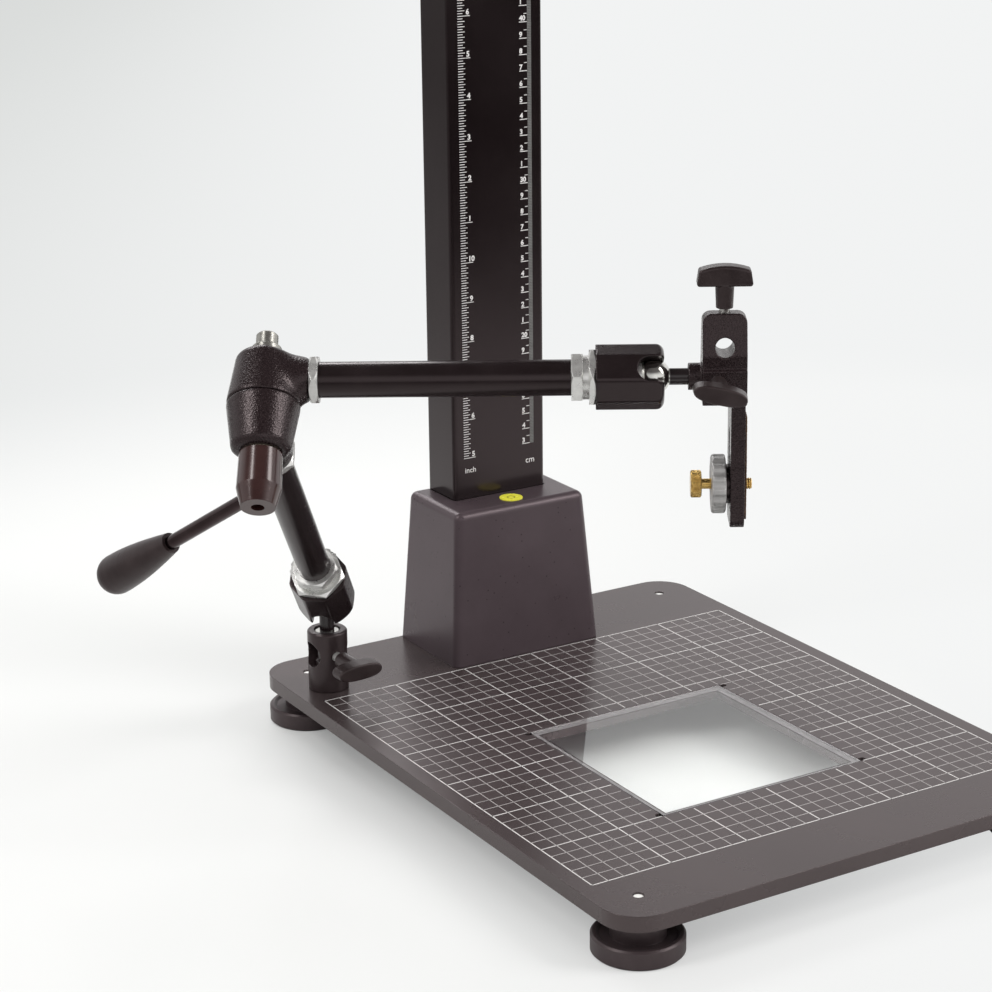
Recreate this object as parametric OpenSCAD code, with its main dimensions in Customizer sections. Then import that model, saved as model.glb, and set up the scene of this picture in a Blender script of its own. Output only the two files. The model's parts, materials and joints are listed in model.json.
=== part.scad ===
// Copy stand: a baseboard with a glass window, a scaled column with a camera carriage, and an
// articulated arm that one lever locks. The origin is the copying centre, on top of the glass.

/* [Baseboard] */
// Width of the baseboard, left to right
board_w = 320; // [310:5:400]
// Distance from the copying centre to the front edge
board_front = 166; // [140:2:220]
// Distance from the copying centre to the back edge
board_back = 254; // [254:2:320]
// Thickness of the baseboard
board_t = 9; // [8:0.5:14]
// Radius of the baseboard's corners
board_corner_r = 22; // [10:1:40]

/* [Glass window] */
// Width and depth of the square window
window_w = 140; // [100:5:180]
// Gap between the pane and the board, all round
pane_gap = 0.4; // [0.2:0.1:1]
// Thickness of the glass pane
pane_t = 4; // [3:0.5:5]
// Width of the ledge that carries the pane
ledge_w = 5; // [3:0.5:10]
// Radius of the cutter's relief at each corner of the window
relief_r = 2; // [1:0.5:3]
// How far each relief runs past the window's side
relief_reach = 4; // [3:0.5:6]

/* [Feet] */
// Distance from the board's edges to each foot's axis
foot_inset = 24; // [20:1:28]
// Diameter of a foot's disc
foot_d = 50; // [40:1:56]
// Height of a foot's disc
foot_disc_h = 11; // [8:1:14]
// Height of a foot, from the floor to the board
foot_h = 22; // [18:1:30]
// Diameter of a foot's neck
foot_neck_d = 30; // [20:1:32]
// Diameter of a foot's threaded stud
foot_stud_d = 6; // [5:1:8]
// Depth of a stud's bore in its foot
foot_bore_depth = 15; // [10:1:16]
// Depth of a stud's end below the board's top
stud_recess = 3; // [1:0.5:4]

/* [Column] */
// Width of the column
column_w = 68; // [60:1:80]
// Depth of the column, front to back
column_depth = 34; // [30:1:36]
// Height of the column above the board
column_h = 600; // [560:10:900]
// Wall of the column's tube
column_wall = 3; // [2:0.5:4]
// Radius of the column's corners
column_corner_r = 2.5; // [1:0.5:4]
// Distance from the copying centre back to the column's centre
column_y = 233; // [230:1:235]
// Height of the end cap above the column
cap_h = 6; // [3:1:12]
// Length of the end cap's plug in the column
cap_plug_h = 14; // [8:1:30]

/* [Column fixing] */
// Height of the plug at the foot of the column
plug_h = 60; // [50:1:80]
// Gap between the plug and the tube, all round
plug_gap = 0.1; // [0.05:0.05:0.3]
// Diameter of the bolts that hold the column down
bolt_d = 8; // [6:1:8]
// Distance between the two bolts
bolt_spacing = 36; // [30:1:38]
// Length of the bolts in the plug
bolt_grip = 40; // [20:1:45]
// Diameter of the screws that pin the plug in the tube
plug_screw_d = 5; // [4:0.5:6]
// Length of the plug screws
plug_screw_len = 10; // [8:1:11]
// Height of the plug screws above the board
plug_screw_z = 48; // [30:1:50]

/* [Column cover] */
// Height of the cover
cover_h = 100; // [90:1:120]
// Width of the cover at the board
cover_base_w = 109; // [105:1:120]
// Width of the cover at its top
cover_top_w = 96; // [92:1:105]
// Distance from the column's centre to the cover's front, at the board
cover_base_front = 51; // [49:1:56]
// Distance from the column's centre to the cover's front, at its top
cover_top_front = 44; // [43:0.5:48]
// Distance from the column's centre to the cover's back, at the board
cover_base_back = 20.5; // [20:0.5:21]
// Wall of the cover
cover_wall = 2.5; // [2:0.1:3]
// Radius of the cover's front and upper edges
cover_edge_r = 5; // [4:0.5:7]
// Radius of the cover's back edges at the board
cover_back_r = 1.5; // [1:0.5:4]
// Gap between the cover and the column
cover_gap = 0.5; // [0.3:0.1:1]
// Diameter of the posts that take the cover's screws
post_d = 8; // [7:0.5:9]
// Height of the posts
post_h = 30; // [20:1:40]
// Diameter of the cover's screws
cover_screw_d = 3.5; // [3:0.5:4]
// Length of the cover's screws
cover_screw_len = 28; // [20:1:35]

/* [Spirit level] */
// Diameter of the round level
level_d = 15; // [12:0.5:17]
// Height of the level's case
level_h = 8; // [6:0.5:10]
// Distance from the level's centre to the column's centre
level_offset = 30.5; // [28:0.5:31]
// How far the case stands out of the cover
level_rise = 0.4; // [0:0.1:1]
// Thickness of the lens
lens_t = 1.5; // [1:0.1:2]

/* [Arm socket] */
// Distance of the arm's socket from the board's left edge
socket_inset = 23.8; // [20:0.2:35]
// Distance of the arm's socket behind the copying centre
socket_y = 201; // [190:1:203]
// Outer diameter of the socket
socket_d = 25; // [24:0.5:28]
// Height of the socket
socket_h = 38.5; // [36:0.5:44]
// Thickness of the socket's floor
socket_floor = 10; // [8:0.5:10]
// Diameter of the arm's spigot
spigot_d = 16; // [15:0.5:17]
// Diameter of the cross hole in the socket
cross_hole_d = 16; // [10:0.5:16]
// Height of the cross hole and of the clamping screw
clamp_z = 23.5; // [19:0.5:25]
// Diameter of the screw that holds the socket down
socket_screw_d = 8; // [6:1:8]

/* [Arm] */
// Distance between the elbow's axis and the ball of the lower arm
lower_arm_len = 213; // [190:1:240]
// Distance between the elbow's axis and the ball of the upper arm
upper_arm_len = 213; // [190:1:240]
// Distance between the two tubes along the elbow's axis
elbow_offset = 31.8; // [31.6:0.1:36]
// Diameter of the tubes
tube_d = 20; // [18:0.5:21]
// Wall of the tubes
tube_wall = 2; // [1.5:0.1:3]
// Height of the lower ball above the socket
ball_rise = 20.6; // [17:0.1:24]
// Compass direction that the lower arm leans in
arm_heading = -129; // [-140:0.1:-125]
// Angle of the lower arm above the board
arm_rise = 44.9; // [42:0.1:60]
// Turn of the elbow's axis about the lower arm
arm_roll = 4.7; // [-10:0.1:10]
// Angle from the lower arm to the upper arm at the elbow
elbow_angle = 94.2; // [80:0.1:110]

/* [Ball joints] */
// Diameter of the balls
ball_d = 20.5; // [20:0.5:23]
// Diameter of the balls' stems
stem_d = 9.2; // [8:0.1:10]
// Depth of the lower ball's stem in the spigot
stem_sunk = 10; // [6:0.5:14]
// Diameter across the corners of a ball's housing
housing_d = 36; // [34:0.5:38]
// Distance across the flats of a ball's housing
housing_flats = 34; // [32:0.5:35]
// Distance from the ball's centre to the housing's mouth
mouth_reach = 6.4; // [5.5:0.1:7]
// Distance from the ball's centre to the housing's back
housing_back = 31; // [30:0.5:34]
// Radius of the edge round a housing's mouth
mouth_edge_r = 4.5; // [3:0.5:5]
// Width of the slot in a housing
slot_w = 14; // [12:0.5:16]
// Distance from the ball's centre to the round end of the slot's axis
slot_back = 1.2; // [0:0.1:3]
// Direction of the upper housing's slot about its arm
upper_slot_angle = 194; // [170:1:200]
// Turn of the nuts on the lower arm
nut_turn = -21; // [-30:1:30]
// Thickness of the flange nut against the housing
flange_nut_t = 3.6; // [3:0.1:5]
// Size of the flange nut across its flats
flange_nut_flats = 30; // [28:0.5:32]
// Length of the thread between the two nuts
thread_len = 3.4; // [2:0.1:5]
// Thickness of the lock nut on the tube
lock_nut_t = 6.4; // [5:0.1:8]
// Size of the lock nut across its flats
lock_nut_flats = 25.5; // [24:0.5:27]
// Diameter of the push rods in the tubes
push_rod_d = 6; // [4:0.5:8]
// Length of the pressure cups behind the balls
cup_len = 12; // [10:0.5:14]

/* [Elbow] */
// Radius of the elbow's castings where they meet
hub_r = 20.4; // [19:0.1:22]
// Radius of the castings at their outer ends
hub_end_r = 17; // [16:0.1:18]
// Height of the upper casting's end above its tube's axis
upper_hub_h = 15; // [13.8:0.1:17]
// Depth of the lower casting's end below its tube's axis
lower_hub_h = 14; // [13.9:0.1:15]
// Radius of the edge round a casting's end
hub_edge_r = 5; // [2:0.5:5]
// Gap between the two castings
elbow_gap = 0.1; // [0.05:0.05:0.3]
// Radius of a casting's boot where its tube goes in
boot_r = 12.8; // [12.5:0.1:13.5]
// Distance from the elbow's axis to the end of a boot
boot_len = 25.2; // [23:0.1:28]
// Thickness of the collar at the end of a boot
collar_t = 4.8; // [4:0.1:7]
// Size of the collar across its flats
collar_flats = 25.5; // [24:0.5:26]
// Diameter of the elbow's bolt
pivot_d = 8; // [7:0.5:9]
// Diameter of the bolt's head
pivot_head_d = 12.4; // [11:0.1:13.5]
// Height of the bolt's head
pivot_head_h = 7.8; // [6:0.1:10]
// Diameter of the flange under the bolt's head
pivot_flange_d = 16.8; // [16:0.1:20]
// Height of the flange under the bolt's head
pivot_flange_h = 6.4; // [2:0.1:8]
// Width of the hexagon socket in the bolt's head
pivot_key = 6; // [4:0.5:7]
// Diameter of the chamber in the castings
chamber_d = 22; // [20:0.5:24]

/* [Lock lever] */
// Diameter of the friction washer
washer_d = 21; // [18:0.5:23]
// Thickness of the friction washer
washer_t = 1; // [0.6:0.1:2]
// Diameter of the cap
lock_cap_d = 24.8; // [22:0.1:28]
// Diameter of the cap where it meets the washer
lock_cap_top_d = 24; // [22:0.1:26]
// Diameter of the cap's end
lock_cap_end_d = 19.2; // [16:0.1:20]
// Length of the cap's straight part
lock_cap_len = 21; // [18:0.5:26]
// Length of the cap's cone
lock_cap_cone = 11; // [8:0.5:14]
// Diameter of the hole in the cap's end
cap_hole_d = 7.3; // [5:0.1:7.8]
// Distance from the cone's start to the lever's axis
lever_drop = 1.5; // [1:0.5:5]
// Diameter of the lever's rod
lever_rod_d = 8; // [6:0.5:9]
// Distance from the cap's axis to the grip
lever_len = 82.5; // [60:0.5:90]
// Length of the grip
grip_len = 65.5; // [45:0.5:70]
// Largest diameter of the grip
grip_d = 23.6; // [20:0.1:26]
// Diameter of the grip where the rod goes in
grip_neck_d = 12; // [11:0.5:15]
// Angle of the lever about the elbow's axis, from the lower tube
lever_angle = 47.2; // [30:0.1:60]

/* [Bracket] */
// Turn of the bracket about the upper arm
bracket_turn = 45.1; // [30:0.1:60]
// Distance from the upper ball to the bracket's boss
boss_start = 19.6; // [19:0.1:25]
// Length of the boss
boss_len = 7.4; // [5:0.1:10]
// Diameter of the boss
boss_d = 15; // [13:0.5:18]
// Width of the bracket's block along the stem
block_w = 24.4; // [22:0.1:30]
// Depth of the bracket's block
block_depth = 25; // [24:0.5:32]
// Height of the block above the stem
block_up = 36; // [32:0.1:46]
// Height of the block below the stem
block_down = 13.6; // [12:0.1:16]
// Height above the stem at which the block steps back
step_up = 6; // [5.5:0.1:8]
// Depth of the step in the block's front
step_depth = 1.5; // [1:0.1:3]
// Radius of the block's upper edges
block_edge_r = 5; // [3:0.5:6]
// Depth of the block's top, which tapers from its full depth above the stem
block_top_depth = 10; // [9:0.5:20]
// Height of the block's through hole above the stem
hole_up = 18; // [14:0.5:19]
// Diameter of the through hole
hole_d = 10.5; // [9:0.5:12]
// Thickness of the platform bar
bar_t = 7.8; // [7:0.1:11]
// Distance from the block's outer face to the bar's outer face
bar_inset = 1; // [0.5:0.1:2]
// Width of the platform bar
bar_w = 30; // [24:1:34]
// Reach of the platform bar below the stem
bar_down = 84; // [82:0.5:95]
// Radius of the bar's lower corners
bar_corner_r = 6; // [3:0.5:10]
// Thickness of the pad on the bar
pad_t = 1.2; // [1:0.1:3]
// Width of the pad
pad_w = 26; // [20:1:30]
// Top of the pad, below the stem
pad_top = 19.6; // [18:0.1:24]
// Bottom of the pad, below the stem
pad_bottom = 79.3; // [76:0.1:90]

/* [Bracket screws] */
// Diameter of the clamping screws with a wing
wing_screw_d = 6; // [5:0.5:8]
// Length of a wing
wing_len = 29.5; // [26:0.5:40]
// Reach of a wing along its screw
wing_w = 11; // [9:0.5:22]
// Thickness of a wing
wing_t = 9.8; // [8:0.1:14]
// Radius of the edge round a wing's flat front
wing_edge_r = 0.9; // [0.5:0.1:2]
// Diameter of a wing's hub
wing_hub_d = 10; // [8:0.5:12]
// Length of a wing's hub before the wing starts
wing_hub_len = 15; // [12:0.5:20]
// Bare length of the screw between the clamped body and the hub
wing_gap = 6; // [2:0.1:8]
// Distance from the boss's end to the stem's clamping screw
stem_screw_x = 8; // [7:0.5:12]
// Diameter of the screw in the T handle
t_screw_d = 6; // [5:0.5:7]
// Length of the T handle's bar
t_bar_len = 30.5; // [26:0.5:40]
// Height of the T handle's bar
t_bar_h = 11.5; // [10:0.5:15]
// Thickness of the T handle's bar
t_bar_t = 11; // [8:0.5:13]
// Fall of the T handle's top towards its ends
t_bar_sag = 2.1; // [1:0.1:4]
// Length of the T handle's stem
t_stem_h = 12.5; // [8:0.5:20]
// Diameter of the T handle's stem at the bar
t_stem_top_d = 10.5; // [9:0.1:12]
// Diameter of the T handle's stem at the block
t_stem_end_d = 9.4; // [8:0.1:11]
// Bare length of the screw between the block and the T handle
t_gap = 2.3; // [0.4:0.1:3]

/* [Camera screw] */
// Diameter of the camera screw's thread
camera_thread_d = 6.35; // [6.35:0.05:9.5]
// Diameter of a camera screw's shank behind its thread
camera_shank_d = 5.8; // [5:0.1:6]
// Distance of the thread's start from the face that the camera rests on
thread_start = 0.2; // [0.1:0.1:1]
// Distance of the camera screw below the stem
camera_drop = 61.7; // [50:0.1:68]
// How far the camera screw slides up its slot
slide_up = 29; // [10:0.5:29]
// How far the camera screw slides down its slot
slide_down = 9; // [5:0.5:9]
// How far the camera screw stands out of the pad
camera_tip = 3.6; // [1:0.1:6]
// Diameter of the lock wheel
wheel_d = 33; // [28:0.1:34]
// Thickness of the lock wheel
wheel_t = 7.8; // [7:0.1:10]
// Number of scallops round the lock wheel
wheel_scallops = 14; // [8:1:16]
// Diameter of the washer behind the lock wheel
wheel_washer_d = 22; // [18:0.5:26]
// Thickness of the washer behind the lock wheel
wheel_washer_t = 2.1; // [1:0.1:3]
// Diameter of the camera screw's head
screw_head_d = 15.5; // [13:0.5:20]
// Thickness of the camera screw's head
screw_head_t = 6; // [4:0.1:8]
// Distance between the camera screw's head and the lock wheel
screw_head_gap = 5.4; // [3:0.1:6]

/* [Camera carriage] */
// Height of the carriage's lower edge above the board
carriage_z = 500; // [470:5:510]
// Height of the carriage
carriage_h = 70; // [60:1:90]
// Wall of the carriage
carriage_wall = 12; // [10:0.5:15]
// Gap between the carriage and the column
carriage_gap = 0.3; // [0.2:0.05:0.5]
// Diameter of the clamping knob
knob_d = 40; // [30:1:50]
// Thickness of the clamping knob
knob_t = 16; // [12:1:24]
// Diameter of the clamping knob's screw
knob_screw_d = 8; // [6:1:10]
// Distance from the copying centre back to the camera plate's face
plate_y = 45; // [30:1:60]
// Width of the camera plate
plate_w = 60; // [50:1:80]
// Height of the camera plate
plate_h = 44; // [40:1:60]
// Thickness of the camera plate and of the arm's flange
plate_t = 10; // [8:0.5:12]
// Width of the camera arm's bar
camera_bar_w = 24; // [20:1:30]
// Height of the camera arm's bar
camera_bar_h = 30; // [24:1:36]
// Diameter of the bolts that hold the camera arm
arm_bolt_d = 6; // [5:0.5:6]
// Distance between the bolts of the camera arm
arm_bolt_spacing = 40; // [38:1:44]
// How far the plate's camera screw stands out
plate_tip = 6; // [4:0.5:8]
// Depth of the room for the plate screw's knob behind the plate
knob_room = 26; // [22:1:32]
// Height of the room for the plate screw's knob
knob_room_h = 25; // [22:1:30]

/* [Hidden] */
$fn = 64;
// Radial clearance of a shaft that turns in its bore
run = 0.05;
// Overshoot that keeps a cut clean of the face it goes through
eps = 1;

floor_z = -board_t - foot_h;
board_mid_y = (board_back - board_front) / 2;
foot_x = board_w / 2 - foot_inset;
socket_x = board_w / 2 - socket_inset;
foot_front_y = -board_front + foot_inset;
foot_back_y = board_back - foot_inset;
socket_at = [-socket_x, socket_y, 0];
cover_top_back = cover_base_back - 1;
post_x = cover_base_w / 2 - cover_wall - post_d / 2 - 2;
post_front_y = column_y - cover_base_front + cover_wall + post_d / 2 + 2;
post_back_y = column_y + cover_base_back - cover_wall - post_d / 2;
ball_r = ball_d / 2;
spigot_top = socket_h - 1;
waist_r = spigot_d / 2 - 1.4;
waist_half = wing_screw_d / 2 + 0.5;
ball_z = socket_h + ball_rise;
elbow_split = elbow_offset / 2;
stem_end = boss_start + boss_len + block_w - 7;
block_x = boss_start + boss_len;
bar_x = block_x + block_w - bar_inset - bar_t;
pad_x = bar_x + bar_t;
wheel_x = bar_x - wheel_washer_t - wheel_t;
screw_head_x = wheel_x - screw_head_gap - screw_head_t;
lever_z = -lower_hub_h - washer_t - lock_cap_len - lever_drop;
cap_end_z = -lower_hub_h - washer_t - lock_cap_len - lock_cap_cone;
pivot_end_z = lever_z + lever_rod_d / 2 + 1;
carriage_w = column_w + 2 * (carriage_gap + carriage_wall);
carriage_depth = column_depth + 2 * (carriage_gap + carriage_wall);
carriage_front_y = column_y - carriage_depth / 2;
knob_z = carriage_z + carriage_h / 2;

// ---- Shapes that repeat ----

module rounded_rect(w, d, r) {
    square([w - 2 * r, d], center = true);
    square([w, d - 2 * r], center = true);
    for (x = [-1, 1], y = [-1, 1])
        translate([x * (w / 2 - r), y * (d / 2 - r)]) circle(r);
}

module rounded_block(w, d, h, r) {
    linear_extrude(h) rounded_rect(w, d, r);
}

module along_x(x) {
    translate([x, 0, 0]) rotate([0, 90, 0]) children();
}

// A hexagon nut on +Z with both edges chamfered
module hex_nut(flats, t, bore_d, ease = 0.5) {
    corner_r = flats / 2 / cos(30);
    chamfer = min((corner_r - flats / 2) * ease, t / 2 - 0.3);
    difference() {
        intersection() {
            cylinder(h = t, r = corner_r, $fn = 6);
            rotate_extrude() polygon([[0, 0], [flats / 2, 0], [corner_r, chamfer], [corner_r, t - chamfer],
                [flats / 2, t], [0, t]]);
        }
        translate([0, 0, -eps]) cylinder(h = t + 2 * eps, d = bore_d);
    }
}

// A countersunk screw: its head's face at z = 0 and its point towards +Z
module countersunk_screw(d, len) {
    cylinder(h = d / 2, d1 = 2 * d, d2 = d);
    cylinder(h = len, d = d);
}

// An oval plastic wing on a hub, with the clamped face at z = 0 and its flat front towards +Z
module wing(screw_d) {
    front_z = wing_gap + wing_hub_len + wing_w;
    edge_r = wing_edge_r;
    back_r = 2 * edge_r;
    difference() {
        union() {
            translate([0, 0, wing_gap]) cylinder(h = wing_hub_len + 1, d1 = wing_hub_d, d2 = wing_t + 1);
            hull() for (a = [0 : 15 : 345]) {
                oval = [sign(cos(a)) * pow(abs(cos(a)), 0.8), sign(sin(a)) * pow(abs(sin(a)), 0.8)];
                translate([oval.x * (wing_len / 2 - edge_r), oval.y * (wing_t / 2 - edge_r), front_z - edge_r])
                    sphere(edge_r, $fn = 12);
                translate([oval.x * (wing_len / 2 + 0.4 - back_r), oval.y * (wing_t / 2 + 0.4 - back_r),
                    front_z - wing_w + back_r]) sphere(back_r, $fn = 12);
            }
        }
        translate([0, 0, wing_gap - eps]) cylinder(h = wing_hub_len + eps, d = screw_d);
    }
}

// The screw of a wing, from its point at -depth to its end in the hub
module wing_stud(screw_d, depth) {
    translate([0, 0, -depth]) cylinder(h = depth + wing_gap + wing_hub_len, d = screw_d);
}

// ---- Places ----

module at_feet() {
    for (x = [-foot_x, foot_x], y = [foot_front_y, foot_back_y]) translate([x, y, 0]) children();
}

module at_posts() {
    for (x = [-post_x, post_x], y = [post_front_y, post_back_y]) translate([x, y, 0]) children();
}

// The clamping screw's axis on the arm's socket, with the socket's face at z = 0
module at_socket_clamp() {
    translate(socket_at + [0, -socket_d / 2, clamp_z]) rotate([90, 0, 0]) children();
}

// The elbow of the lower arm: +X runs down its tube to the ball, +Z runs up the elbow's axis
module at_lower_arm() {
    translate(socket_at + [0, 0, ball_z]) rotate([0, 0, arm_heading]) rotate([0, -arm_rise, 0])
        rotate([arm_roll, 0, 0]) translate([lower_arm_len, 0, 0]) rotate([0, 0, 180]) children();
}

// The elbow of the upper arm: +X runs along its tube to the ball, +Z runs up the elbow's axis
module at_upper_arm() {
    at_lower_arm() translate([0, 0, elbow_offset]) rotate([0, 0, elbow_angle - 180]) children();
}

// The upper ball: +X runs along the stem, +Z runs up the bracket
module at_bracket() {
    at_upper_arm() translate([upper_arm_len, 0, 0]) rotate([bracket_turn, 0, 0]) children();
}

// The camera screw's axis on the bracket, pointing out of the pad along +Z
module at_camera_screw() {
    at_bracket() translate([0, 0, -camera_drop]) rotate([0, 90, 0]) children();
}

// ---- Baseboard and feet ----

module baseboard() {
    color("dimgray") difference() {
        translate([0, board_mid_y, -board_t])
            rounded_block(board_w, board_front + board_back, board_t, board_corner_r);
        translate([-window_w / 2, -window_w / 2, -pane_t]) cube([window_w, window_w, pane_t + eps]);
        translate([ledge_w - window_w / 2, ledge_w - window_w / 2, -board_t - eps])
            cube([window_w - 2 * ledge_w, window_w - 2 * ledge_w, board_t + 2 * eps]);
        for (x = [-1, 1], y = [-1, 1]) translate([x * window_w / 2, y * (window_w / 2 - relief_r), -pane_t]) {
            translate([x * (relief_reach - relief_r), 0, 0]) cylinder(h = pane_t + eps, r = relief_r);
            translate([x * (relief_reach - 2 * relief_r) / 2, 0, (pane_t + eps) / 2])
                cube([relief_reach, 2 * relief_r, pane_t + eps], center = true);
        }
        at_feet() translate([0, 0, -board_t - eps]) cylinder(h = board_t + 2 * eps, d = foot_stud_d + 2 * run);
        for (x = [-1, 1]) translate([x * bolt_spacing / 2, column_y, -board_t - eps])
            cylinder(h = board_t + 2 * eps, d = bolt_d + 2 * run);
        at_posts() translate([0, 0, -board_t - eps]) cylinder(h = board_t + 2 * eps, d = cover_screw_d + 2 * run);
        at_posts() translate([0, 0, -board_t]) cylinder(h = cover_screw_d / 2, d1 = 2 * cover_screw_d, d2 = cover_screw_d);
        translate(socket_at) {
            translate([0, 0, -board_t - eps]) cylinder(h = board_t + 2 * eps, d = socket_screw_d + 2 * run);
            translate([0, 0, -board_t]) cylinder(h = socket_screw_d / 2, d1 = 2 * socket_screw_d, d2 = socket_screw_d);
        }
    }
}

module glass_pane() {
    pane_w = window_w - 2 * pane_gap;
    color("lightcyan", 0.35) translate([-pane_w / 2, -pane_w / 2, -pane_t]) cube([pane_w, pane_w, pane_t]);
}

module foot_studs() {
    bottom_z = floor_z + foot_h - foot_bore_depth + 0.5;
    color("silver") at_feet() translate([0, 0, bottom_z])
        cylinder(h = -stud_recess - bottom_z, d = foot_stud_d);
}

// One foot on its own axis: a disc with a raised rim, a neck and a threaded bore
module foot() {
    rim_w = 3;
    dish = 1.5;
    edge = 1.2;
    color([0.09, 0.08, 0.08]) translate([0, 0, floor_z]) difference() {
        rotate_extrude() polygon([[0, 0], [foot_d / 2 - edge, 0], [foot_d / 2, edge],
            [foot_d / 2, foot_disc_h - edge], [foot_d / 2 - edge, foot_disc_h],
            [foot_d / 2 - rim_w, foot_disc_h], [foot_d / 2 - rim_w - dish, foot_disc_h - dish],
            [foot_neck_d / 2, foot_disc_h - dish], [foot_neck_d / 2, foot_h], [0, foot_h]]);
        translate([0, 0, foot_h - foot_bore_depth])
            cylinder(h = foot_bore_depth + eps, d = foot_stud_d + 2 * run);
    }
}

module foot_front_left() {
    translate([-foot_x, foot_front_y, 0]) foot();
}

module foot_front_right() {
    translate([foot_x, foot_front_y, 0]) foot();
}

module foot_back_left() {
    translate([-foot_x, foot_back_y, 0]) foot();
}

module foot_back_right() {
    translate([foot_x, foot_back_y, 0]) foot();
}

// ---- Column ----

inner_w = column_w - 2 * column_wall;
inner_depth = column_depth - 2 * column_wall;

module column() {
    color([0.08, 0.07, 0.07]) translate([0, column_y, 0]) difference() {
        rounded_block(column_w, column_depth, column_h, column_corner_r);
        translate([-inner_w / 2, -inner_depth / 2, -eps]) cube([inner_w, inner_depth, column_h + 2 * eps]);
        for (side = [-1, 1]) translate([side * column_w / 2, 0, plug_screw_z]) rotate([0, -90 * side, 0])
            countersunk_screw(plug_screw_d, plug_screw_len);
    }
}

module column_cap() {
    color([0.06, 0.06, 0.06]) translate([0, column_y, column_h]) {
        rounded_block(column_w, column_depth, cap_h, column_corner_r);
        translate([plug_gap - inner_w / 2, plug_gap - inner_depth / 2, -cap_plug_h])
            cube([inner_w - 2 * plug_gap, inner_depth - 2 * plug_gap, cap_plug_h + cap_h / 2]);
    }
}

module column_plug() {
    w = inner_w - 2 * plug_gap;
    d = inner_depth - 2 * plug_gap;
    color("silver") translate([0, column_y, 0]) difference() {
        translate([-w / 2, -d / 2, 0]) cube([w, d, plug_h]);
        for (x = [-1, 1]) translate([x * bolt_spacing / 2, 0, -eps]) cylinder(h = plug_h + 2 * eps, d = bolt_d + 2 * run);
        for (side = [-1, 1]) translate([side * column_w / 2, 0, plug_screw_z]) rotate([0, -90 * side, 0])
            cylinder(h = plug_screw_len + 0.5, d = plug_screw_d);
    }
}

module column_bolts() {
    head_h = 5.3;
    bolt_washer_t = 1.6;
    color("gray") for (x = [-1, 1]) translate([x * bolt_spacing / 2, column_y, -board_t]) {
        translate([0, 0, -bolt_washer_t]) cylinder(h = bolt_washer_t, d = 2 * bolt_d);
        translate([0, 0, -bolt_washer_t - head_h]) cylinder(h = head_h, d = 1.85 * bolt_d, $fn = 6);
        translate([0, 0, -bolt_washer_t]) cylinder(h = bolt_washer_t + board_t + bolt_grip, d = bolt_d);
    }
}

module plug_screws() {
    color("gray") for (side = [-1, 1]) translate([side * column_w / 2, column_y, plug_screw_z])
        rotate([0, -90 * side, 0]) countersunk_screw(plug_screw_d, plug_screw_len);
}

// ---- Column cover and level ----

// The cover's solid, drawn in by inset on every side and cut off at top_z
module cover_form(inset, top_z) {
    r = cover_edge_r - inset;
    base_back_r = max(0.5, cover_back_r - inset);
    base_w = cover_base_w / 2 - inset;
    top_w = cover_top_w / 2 - inset;
    hull() for (x = [-1, 1]) {
        translate([x * (base_w - r), column_y - cover_base_front + inset + r, 0]) cylinder(h = 0.01, r = r, $fn = 32);
        translate([x * (base_w - base_back_r), column_y + cover_base_back - inset - base_back_r, 0])
            cylinder(h = 0.01, r = base_back_r, $fn = 32);
        for (y = [column_y - cover_top_front + inset + r, column_y + cover_top_back - inset - r])
            translate([x * (top_w - r), y, top_z - r]) sphere(r, $fn = 32);
    }
}

module column_cover() {
    seat_wall = 2;
    seat_z = cover_h + level_rise - level_h;
    level_y = column_y - level_offset;
    color([0.28, 0.25, 0.27]) difference() {
        union() {
            difference() {
                cover_form(0, cover_h);
                translate([0, 0, -0.01]) cover_form(cover_wall, cover_h - cover_wall);
            }
            at_posts() cylinder(h = post_h, d = post_d);
            intersection() {
                translate([0, level_y, seat_z - seat_wall]) cylinder(h = level_h, d = level_d + 2 * seat_wall);
                cover_form(cover_wall / 2, cover_h - cover_wall / 2);
            }
        }
        translate([0, column_y, -eps])
            rounded_block(column_w + 2 * cover_gap, column_depth + 2 * cover_gap, cover_h + 2 * eps, column_corner_r);
        translate([0, level_y, seat_z]) cylinder(h = level_h + eps, d = level_d + 2 * run);
        at_posts() translate([0, 0, -eps]) cylinder(h = cover_screw_len - board_t + eps + 1, d = cover_screw_d);
    }
}

module cover_screws() {
    color("gray") at_posts() translate([0, 0, -board_t]) countersunk_screw(cover_screw_d, cover_screw_len);
}

module level_case() {
    rim = 1;
    color([0.9, 0.84, 0.2]) translate([0, column_y - level_offset, cover_h + level_rise - level_h]) difference() {
        cylinder(h = level_h, d = level_d);
        translate([0, 0, level_h - lens_t]) cylinder(h = lens_t + eps, d = level_d - 2 * rim);
    }
}

module level_lens() {
    rim = 1;
    color("khaki", 0.5) translate([0, column_y - level_offset, cover_h + level_rise - lens_t])
        cylinder(h = lens_t, d = level_d - 2 * rim);
}

// ---- Arm socket ----

module arm_socket() {
    color([0.1, 0.09, 0.09]) difference() {
        translate(socket_at) difference() {
            union() {
                cylinder(h = socket_h - 1, d = socket_d);
                translate([0, 0, socket_h - 1]) cylinder(h = 1, d1 = socket_d, d2 = socket_d - 2);
            }
            translate([0, 0, socket_floor]) cylinder(h = socket_h, d = spigot_d + 2 * run);
            translate([0, 0, clamp_z]) rotate([0, 90, 0])
                cylinder(h = socket_d + 2 * eps, d = cross_hole_d, center = true);
            translate([0, 0, -eps]) cylinder(h = socket_floor - 1 + eps, d = socket_screw_d);
        }
        at_socket_clamp() translate([0, 0, -socket_d / 2]) cylinder(h = socket_d / 2 + eps, d = wing_screw_d + 2 * run);
    }
}

module socket_base_screw() {
    color("gray") translate(socket_at + [0, 0, -board_t])
        countersunk_screw(socket_screw_d, board_t + socket_floor - 1.5);
}

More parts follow.
